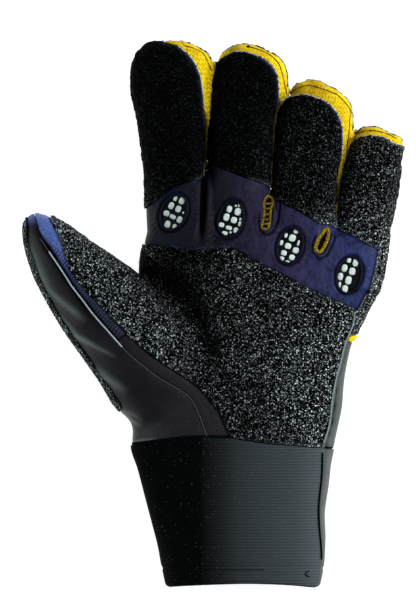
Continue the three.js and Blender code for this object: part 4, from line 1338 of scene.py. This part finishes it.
def skin_height(places):
    """The height of the glove's smooth form under places on the table, seen from above."""
    heights = np.arange(ABOVE, -1.0, -SKIN_STEP)
    result = np.zeros(len(places))
    for k, (x, y) in enumerate(places):
        column = np.stack([np.full(len(heights), x), np.full(len(heights), y), heights], axis=1)
        depth = outside_glove(column)[0]
        inside = np.flatnonzero(depth < 0)
        if len(inside) and inside[0] > 0:
            i = inside[0]
            part = depth[i - 1] / (depth[i - 1] - depth[i])
            result[k] = heights[i - 1] + part * (heights[i] - heights[i - 1])
    return result


def surface_tree(pieces):
    """One search tree over the faces of several pieces."""
    points, faces, first = [], [], 0
    for piece in pieces:
        mesh = piece.data
        mesh.calc_loop_triangles()
        corners = np.empty(len(mesh.loop_triangles) * 3, dtype=np.int32)
        mesh.loop_triangles.foreach_get("vertices", corners)
        points.append(read_points(mesh))
        faces.append(corners.reshape(-1, 3) + first)
        first += len(mesh.vertices)
    return BVHTree.FromPolygons(np.vstack(points).tolist(), np.vstack(faces).tolist())


# What nothing is laid on: the pads, the strip along the thumb and the tab.
BARE = {"thumb_back_grip", "side_tab"} | {"grip_" + finger for finger in FINGERS}
TREE = surface_tree([piece for node, piece in made.items() if node not in BARE])
# How many neighbouring heights are averaged to steady a line.
STEADY = 5


def seen_height(places, steadied=True, reach=0.0):
    """The height of the dressed surface under places on the table, or the highest within reach of them."""
    around = ((0, 0), (1, 0), (-1, 0), (0, 1), (0, -1)) if reach else ((0, 0),)
    z = []
    for x, y in places:
        starts = [Vector((x + reach * dx, y + reach * dy, ABOVE)) for dx, dy in around]
        hits = [TREE.ray_cast(start, Vector((0, 0, -1)))[0] for start in starts]
        z.append(max([hit.z for hit in hits if hit], default=np.nan))
    z = np.array(z)
    known = ~np.isnan(z)
    z = np.interp(np.arange(len(z)), np.flatnonzero(known), z[known])
    if steadied:
        z = np.convolve(np.pad(z, STEADY // 2, "edge"), np.ones(STEADY) / STEADY, "valid")
    return z


# Over how many steps an open band is drawn in at its ends, the least share of its size there, and how
# many sides it has.
TAPER_STEPS = 2
TAPER_LEAST = 0.02
BAND_SIDES = 8


def swept(path, wide, high, closed=False, across=None):
    """A rounded band along a path: wide and high are its half sizes, drawn in at open ends."""
    count = len(path)
    if closed:
        way = np.roll(path, -1, axis=0) - np.roll(path, 1, axis=0)
        size = np.ones(count)
    else:
        way = np.gradient(path, axis=0)
        from_end = np.minimum(np.arange(count), np.arange(count)[::-1])
        size = np.sqrt(np.clip(from_end / TAPER_STEPS, TAPER_LEAST, 1))
    way /= np.linalg.norm(way, axis=1)[:, None]
    side = np.cross(way, [0, 0, 1.0]) if across is None else np.tile(across, (count, 1))
    side /= np.maximum(np.linalg.norm(side, axis=1), TINY)[:, None]
    up = np.cross(side, way)
    angle = np.arange(BAND_SIDES) * 2 * math.pi / BAND_SIDES
    ring = np.cos(angle)[None, :, None] * side[:, None] * wide
    ring = ring + np.sin(angle)[None, :, None] * up[:, None] * high
    points = (path[:, None] + ring * size[:, None, None]).reshape(-1, 3)
    faces = []
    for i in range(count if closed else count - 1):
        a, b = i * BAND_SIDES, (i + 1) % count * BAND_SIDES
        sides = [(k, (k + 1) % BAND_SIDES) for k in range(BAND_SIDES)]
        faces += [(a + k, a + after, b + after, b + k) for k, after in sides]
    return points, faces


# A dot's corners, how square it is (1 is an oval), and its profile: the share of its width and of its rise.
DOT_SIDES = 20
DOT_POWER = 0.75
DOT_PROFILE = ((1.0, 0.0), (1.0, 0.55), (0.94, 0.8), (0.8, 0.95), (0.5, 1.0))


def dome(place, half_wide, half_high, base, rise, lean):
    """A rounded raised dot."""
    turn = math.radians(lean)
    angle = np.arange(DOT_SIDES) * 2 * math.pi / DOT_SIDES
    x = np.sign(np.cos(angle)) * np.abs(np.cos(angle)) ** DOT_POWER
    y = np.sign(np.sin(angle)) * np.abs(np.sin(angle)) ** DOT_POWER
    rings = []
    for share, height in DOT_PROFILE:
        u, v = x * half_wide * share, y * half_high * share
        rings.append(np.column_stack([place[0] + u * math.cos(turn) + v * math.sin(turn),
                                      place[1] - u * math.sin(turn) + v * math.cos(turn),
                                      np.full(DOT_SIDES, base + rise * height)]))
    points = np.vstack([*rings, [[*place, base + rise]]])
    sides = [(k, (k + 1) % DOT_SIDES) for k in range(DOT_SIDES)]
    last = (len(DOT_PROFILE) - 1) * DOT_SIDES
    faces = []
    for row in range(0, last, DOT_SIDES):
        faces += [(row + k, row + after, row + DOT_SIDES + after, row + DOT_SIDES + k) for k, after in sides]
    faces += [(last + k, last + after, last + DOT_SIDES) for k, after in sides]
    return points, faces


def add_piece(name, parts, look):
    """One piece of the glove, joined from parts that are each given as points and faces."""
    points, faces, first = [], [], 0
    for some, shape in parts:
        points.append(some)
        faces += [tuple(first + k for k in face) for face in shape]
        first += len(some)
    mesh = bpy.data.meshes.new(name)
    mesh.from_pydata(to_model(np.vstack(points)).tolist(), [], faces)
    mesh.shade_smooth()
    piece = added(name, mesh)
    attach(piece, "root")
    return wear(piece, LOOKS[look])


# How far around a band the surface is looked at so that the band isn't buried.
TOP_REACH = 0.7


def top_height(places):
    return seen_height(places, reach=TOP_REACH)


def laid(line, wide, high, lift, closed=False, step=0.5, height=seen_height):
    """A band that lies on the dressed surface along a picture line."""
    places = curve_through(traced(line), step, closed)
    return swept(np.column_stack([places, height(places) + lift]), wide, high, closed)


# Half width, half height and lift of each kind of line laid on the surface.
LINE_FORMS = {
    "ladder bar": (0.45, 0.4, 0.0), "ladder thread": (0.25, 0.3, 0.2), "knit seam": (0.34, 0.3, 0.0),
    "pad rim": (0.38, 0.4, 0.15), "stitch": (0.4, 0.25, 0.2), "loose thread": (0.3, 0.3, 0.2),
    "side seam": (0.45, 0.35, 0.0),
}

OVAL_STEPS = 64


def oval(window, shrink):
    """Places around a window's oval, drawn in by some millimetres."""
    px, py, lean = window
    x, y = spot(px, py)
    turn = math.radians(lean)
    angle = np.arange(OVAL_STEPS) * 2 * math.pi / OVAL_STEPS
    along = np.cos(angle) * (WINDOW_SIZE["length"] / 2 - shrink)
    across = np.sin(angle) * (WINDOW_SIZE["width"] / 2 - shrink)
    return np.column_stack([x + across * math.cos(turn) + along * math.sin(turn),
                            y - across * math.sin(turn) + along * math.cos(turn)])


# A window's rolled lip: its width, its half height, how far inside the opening it lies and how deep.
LIP = {"width": 1.3, "half_height": 0.5, "inside": 0.1, "sunk": 0.15}


def add_window_lips():
    half = LIP["width"] / 2
    for finger, window in WINDOWS.items():
        places = oval(window, half + LIP["inside"])
        path = np.column_stack([places, skin_height(places) - LIP["sunk"]])
        add_piece("window_lip_" + finger, [swept(path, half, LIP["half_height"], True)], "lip")


# The dots in each window, charted from the picture: middle, width and height in chart units. The chart begins
# at CHART_ZERO in the picture, with CHART_SCALE units to a pixel.
CHART_ZERO = (130, 150)
CHART_SCALE = 5.807
DOTS = {
    "index": [
        (264, 280, 22, 34), (301, 295, 34, 42), (240, 323, 32, 42), (281, 343, 34, 40), (213, 368, 38, 34),
        (249, 388, 40, 26), (309, 365, 10, 16), (289, 405, 34, 40), (219, 431, 36, 42), (259, 444, 24, 30),
    ],
    "middle": [
        (614, 324, 12, 12), (634, 322, 16, 18), (578, 343, 32, 40), (627, 358, 38, 44), (561, 390, 36, 44),
        (604, 407, 36, 38), (641, 401, 14, 16), (532, 435, 36, 28), (575, 452, 40, 24), (638, 428, 18, 32),
        (616, 467, 30, 34), (550, 488, 38, 34), (584, 478, 12, 14),
    ],
    "ring": [
        (964, 475, 28, 24), (906, 497, 18, 30), (943, 512, 40, 44), (879, 540, 20, 36), (978, 540, 14, 34),
        (917, 558, 38, 36), (962, 583, 36, 36), (893, 598, 34, 32), (881, 630, 28, 26), (940, 624, 34, 34),
        (915, 647, 26, 10),
    ],
    "little": [
        (1271, 641, 26, 28), (1310, 654, 32, 46), (1245, 686, 34, 44), (1290, 705, 36, 44),
        (1221, 735, 32, 44), (1268, 757, 36, 50), (1216, 783, 18, 36), (1247, 808, 34, 48),
    ],
}


# How deep a dot is sunk into its insert, and how high it is.
DOT_SUNK = 0.3
DOT_RISE = 0.9


def add_dots():
    half = PIXEL / CHART_SCALE / 2
    for finger, rows in DOTS.items():
        parts = []
        for cx, cy, wide, high in rows:
            place = spot(CHART_ZERO[0] + cx / CHART_SCALE, CHART_ZERO[1] + cy / CHART_SCALE)
            base = seen_height([place], False)[0] - DOT_SUNK
            parts.append(dome(place, wide * half, high * half, base, DOT_RISE, WINDOWS[finger][2]))
        # The index finger's dots take the copy painted with shade.
        add_piece("window_dots_" + finger, parts, "shaded_dot" if finger == "index" else "dot")


SLOT_RINGS = {
    "middle": [
        (268, 196), (264.3, 201), (264.2, 210), (264.1, 216), (261.8, 224.5), (262.6, 228.2),
        (265.3, 229.3), (268.1, 227.8), (269.3, 224), (269.9, 219), (270.6, 210.5), (272.2, 203),
        (272.2, 199),
    ],
    "ring": [
        (327, 228.6), (322.5, 233.4), (318, 240.2), (315.8, 246.8), (315.9, 250), (319.3, 252.2),
        (322, 250.3), (325, 245), (327.5, 239), (328.4, 232.6),
    ],
}
# The half width and the look of the cord round each slot, and half its height, its lift and the step along
# it.
SLOT_CORDS = {"middle": (0.66, "dull_cord"), "ring": (0.85, "cord")}
CORD_FORM = (0.55, 0.1, 0.45)

# The bars across the middle slot: their row in the picture and their two ends; and the thread that runs up
# from it.
LADDER_BARS = [
    (203, 264.2, 272), (208, 264.2, 271), (213.5, 264, 270.3), (219, 263.2, 269.8), (223.5, 262.4, 269.2),
]
LADDER_THREAD = [(271.5, 170), (270.5, 186), (268.5, 196)]
# How far a bar's middle hangs down and its right end rises, in pixels.
BAR_BEND = (0.8, 0.5)


def ladder():
    """The bars in the middle slot, each a little bent, and the thread above them."""
    hang, rise = BAR_BEND
    bars = [[(x0, y), ((x0 + x1) / 2, y + hang), (x1, y - rise)] for y, x0, x1 in LADDER_BARS]
    thread = laid(LADDER_THREAD, *LINE_FORMS["ladder thread"])
    return [laid(bar, *LINE_FORMS["ladder bar"], height=skin_height) for bar in bars] + [thread]


def add_slots():
    for finger, line in SLOT_RINGS.items():
        wide, look = SLOT_CORDS[finger]
        high, lift, step = CORD_FORM
        ring = laid(line, wide, high, lift, True, step, skin_height)
        add_piece("slot_ring_" + finger, [ring] + (ladder() if finger == "middle" else []), look)


# The frayed outer rim of each fingertip in the picture.
FRAYED_RIMS = {
    "index": [(164, 41), (175, 39.6), (187, 41.5), (199, 47.5), (208.5, 54), (214, 64)],
    "middle": [(222, 54), (226, 48.7), (234, 45), (247, 43), (258, 45.5), (269, 50.5), (280.4, 57),
               (285.6, 65), (288, 78), (290, 90)],
    "ring": [(288, 93), (292, 86.5), (300, 80.6), (305.5, 81.6), (314, 79.4), (317, 78), (325, 83.5),
             (335, 88.5), (343, 93.5), (349.6, 98.5), (352.6, 107), (354.6, 118), (354.4, 132)],
    "little": [(354.5, 132), (358, 128.5), (363, 126), (378, 125.2), (386, 129.5), (395.5, 134.5),
               (402, 137.5), (404, 143)],
}
# Such a rim's height above the table, its half sizes, and how ragged it is: how far, in lumps how far apart,
# and the seed of each axis.
RIM = {"height": 16.5, "half_width": 0.45, "half_height": 1.0}
RAGGED = {"reach": 1.0, "pitch": 1.3, "seeds": (5, 9, 13)}


# The part of each pad's seam, in points, where its cut edge shows pale flecks: fray, with a painted highlight
# where the edge faces the light.
PAD_EDGE_FRAY_AND_HIGHLIGHT = {"index": (1, 7), "middle": (2, 12), "ring": (0, 12), "little": (1, 8)}


def frayed_path(line):
    """A ragged path on the fingertip's face, under a line of the picture."""
    places = curve_through(traced(line), 0.5)
    path = np.column_stack([places, np.full(len(places), RIM["height"])])
    for _ in range(DRAW_ROUNDS):
        depth, _, way = outward(path)
        path[:, :2] -= depth[:, None] * way[:, :2]
    shake = [lumps(path, RAGGED["pitch"], seed) - 0.5 for seed in RAGGED["seeds"]]
    return path + RAGGED["reach"] * np.column_stack(shake)


# The bands along the leather, coloured pale as a painted highlight: the line in the picture, half width, half
# height, lift and look.
PIPES = {
    "thumb": (PIPING["thumb"], 0.38, 0.45, 0.1, "piping"),
    "thumb_start": (PIPING["start"], 0.22, 0.3, 0.05, "dim_piping"),
    "heel": (PIPING["heel"], 0.3, 0.4, 0.05, "dim_piping"),
    "palm": (PALM_EDGE, 0.4, 0.4, 0.0, "palm_piping"),
}


def add_lines():
    for name, (line, wide, high, lift, look) in PIPES.items():
        add_piece("piping_" + name, [laid(line, wide, high, lift, height=top_height)], look)
    for finger, line in KNIT_SEAMS.items():
        add_piece("knit_seam_" + finger, [laid(line, *LINE_FORMS["knit seam"])], "seam")
    for finger, line in FRAYED_RIMS.items():
        band = swept(frayed_path(line), RIM["half_width"], RIM["half_height"])
        add_piece("frayed_rim_" + finger, [band], "frayed")
    for finger, (first, last) in PAD_EDGE_FRAY_AND_HIGHLIGHT.items():
        band = laid(PAD_SEAMS[finger][first:last], *LINE_FORMS["pad rim"], height=top_height)
        add_piece("pad_rim_fray_and_highlight_" + finger, [band], "pad_rim_fray_and_highlight")


# The knit deep between two fingers, darkened with painted shade: its line in the picture, its half width and
# its look.
BETWEEN_FINGERS = {
    "index": ([(206.5, 112), (206.5, 130), (206, 152)], 0.8, "olive"),
    "middle": ([(278, 104), (275.5, 116), (274.3, 130), (273.2, 150), (272, 172)], 0.9, "olive"),
    "ring": ([(357, 128.5), (355, 133.5), (352, 139.5), (348, 146), (345, 152)], 1.3, "gold"),
}
BETWEEN_HEIGHT = 13.0
BETWEEN_STEP = 0.8
BETWEEN_HALF_HEIGHT = 3.0


def add_between_fingers():
    for finger, (line, wide, look) in BETWEEN_FINGERS.items():
        places = curve_through(traced(line), BETWEEN_STEP)
        path = np.column_stack([places, np.full(len(places), BETWEEN_HEIGHT)])
        add_piece("between_" + finger, [swept(path, wide, BETWEEN_HALF_HEIGHT)], look)


# The cuff's joint to the hand in the picture, the middle it is traced from, and the band that covers it.
CUFF_JOINT = [
    (70, 444.5), (130, 444.1), (182.9, 437), (206, 436.2), (228.9, 436.6), (262.9, 442), (322, 447),
    (430, 448),
]
JOINT_MIDDLE = (9.0, 21.0)
JOINT_BAND = {"half_width": 0.8, "half_height": 0.6, "level": -0.35, "steps": 220}
# It is looked for within this distance of the middle, by halving the distance this many times.
JOINT_FARTHEST = 80.0
JOINT_HALVINGS = 16


def around_hand(line, level, steps):
    """A closed path round the hand along a line seen from above, at a level of the glove's form."""
    line = traced(line)
    angle = np.arange(steps) * 2 * math.pi / steps

    def placed(reach):
        x = JOINT_MIDDLE[0] + reach * np.cos(angle)
        z = JOINT_MIDDLE[1] + reach * np.sin(angle)
        return np.column_stack([x, np.interp(x, line[:, 0], line[:, 1]), z])

    near, far = np.zeros(steps), np.full(steps, JOINT_FARTHEST)
    for _ in range(JOINT_HALVINGS):
        middle = (near + far) / 2
        inside = outside_glove(placed(middle))[0] < level
        near, far = np.where(inside, middle, near), np.where(inside, far, middle)
    path = placed(near)
    path[:, 2] = np.maximum(path[:, 2], JOINT_BAND["half_height"])
    return path


def add_cuff_joint():
    path = around_hand(CUFF_JOINT, JOINT_BAND["level"], JOINT_BAND["steps"])
    wide, high = JOINT_BAND["half_width"], JOINT_BAND["half_height"]
    add_piece("cuff_joint", [swept(path, wide, high, True, np.array([0, 1.0, 0]))], "joint")


# The dark knot in the knit at the middle finger's tip: its place in the picture, half sizes, depth and rise.
KNOT = {"spot": (248.5, 46.2), "half": (0.8, 0.7), "sunk": 0.3, "rise": 1.0}


def add_knot():
    place = spot(*KNOT["spot"])
    base = seen_height([place], False)[0] - KNOT["sunk"]
    add_piece("knot_middle", [dome(place, *KNOT["half"], base, KNOT["rise"], 0)], "pit")


# The stitches along the hem: their first place, pitch and row in the picture, how many, one stitch's shape
# and the step along it. Then the loose thread at their end and the seam up the cuff's side.
STITCHES = {"first": 205, "pitch": 2.5, "row": 568.9, "count": 24}
STITCH_SHAPE = [(0, 0), (1.0, -0.2), (1.5, 0)]
FINE_STEP = 0.3
LOOSE_THREAD = [(309.5, 570.5), (306, 572), (305, 574), (307.5, 575.5), (310, 576)]
SIDE_SEAM = [(322.5, 452), (321.8, 475), (319.5, 497), (318.6, 512), (319.6, 530), (321, 545), (321.8, 560)]


def add_stitches():
    starts = [STITCHES["first"] + STITCHES["pitch"] * k for k in range(STITCHES["count"])]
    lines = [[(px + dx, STITCHES["row"] + dy) for dx, dy in STITCH_SHAPE] for px in starts]
    add_piece("hem_stitches", [laid(line, *LINE_FORMS["stitch"], step=FINE_STEP) for line in lines], "thread")
    loose = laid(LOOSE_THREAD, *LINE_FORMS["loose thread"], step=FINE_STEP)
    add_piece("hem_loose_thread", [loose], "thread")
    seam = laid(SIDE_SEAM, *LINE_FORMS["side seam"], height=top_height)
    add_piece("cuff_side_seam", [seam], "thread")


add_window_lips()
add_dots()
add_slots()
add_lines()
add_between_fingers()
add_cuff_joint()
add_knot()
add_stitches()


# Studio

# The camera stands far off; its measures are in metres, as the lights' are, but the picture's are pixels.
CAMERA_HEIGHT = 5.0
PICTURE_SIZE = (416, 609)
PICTURE_HEIGHT = PICTURE_SIZE[1] * PIXEL * MILLIMETRE
PICTURE_CENTRE = to_model([*spot(PICTURE_SIZE[0] / 2, PICTURE_SIZE[1] / 2), 0])
AIM_HEIGHT = 0.03
SENSOR = 36.0
# Each light's place, size, power and colour; they point at a spot just above the floor.
LIGHTS = {
    "right": ((1.1, 0.25, 0.75), (0.9, 1.2), 20, (1, 1, 1)),
    "left": ((-1.2, 0.1, 0.45), (0.5, 1.4), 10, (0.9, 1.0, 0.97)),
    "top": ((0.1, 0.5, 1.6), (1.0, 1.0), 5, (1, 1, 1)),
}
LIGHT_AIM = Vector((0, 0, 0.02))
WORLD_LIGHT = 0.12
FLOOR_HALF = 6.0
FLOOR_HEIGHT = -0.0005
FLOOR_GREY = (0.3, 0.3, 0.3)
FLOOR_GLOW = 0.92
WHITE = (1, 1, 1, 1)


def add_camera():
    data = bpy.data.cameras.new("camera")
    data.sensor_width = SENSOR
    data.lens = SENSOR * (CAMERA_HEIGHT - AIM_HEIGHT) / PICTURE_HEIGHT
    data.clip_end = 4 * CAMERA_HEIGHT
    camera = added("camera", data)
    camera.location = (PICTURE_CENTRE[0], PICTURE_CENTRE[1], CAMERA_HEIGHT)
    bpy.context.scene.camera = camera


def add_lights():
    for name, (place, size, power, colour) in LIGHTS.items():
        data = bpy.data.lights.new(name, "AREA")
        data.shape = "RECTANGLE"
        data.size, data.size_y = size
        data.energy = power
        data.color = colour
        light = added(name, data)
        light.location = place
        light.rotation_euler = (LIGHT_AIM - Vector(place)).to_track_quat("-Z", "Y").to_euler()
    world = bpy.data.worlds.new("studio")
    world.use_nodes = True
    background = world.node_tree.nodes["Background"]
    background.inputs["Color"].default_value = WHITE
    background.inputs["Strength"].default_value = WORLD_LIGHT
    bpy.context.scene.world = world


def add_floor():
    mesh = bpy.data.meshes.new("floor")
    corners = [(x * FLOOR_HALF, y * FLOOR_HALF, 0) for x, y in ((-1, -1), (1, -1), (1, 1), (-1, 1))]
    mesh.from_pydata(corners, [], [(0, 1, 2, 3)])
    floor = added("floor", mesh)
    floor.location.z = FLOOR_HEIGHT
    look = Look("pale_floor", "grey_leather")
    look.finish(FLOOR_GREY, 0.9, Emission_Color=WHITE, Emission_Strength=FLOOR_GLOW)
    mesh.materials.append(look.material)


add_camera()
add_floor()
add_lights()
bpy.context.scene.view_settings.view_transform = "Standard"
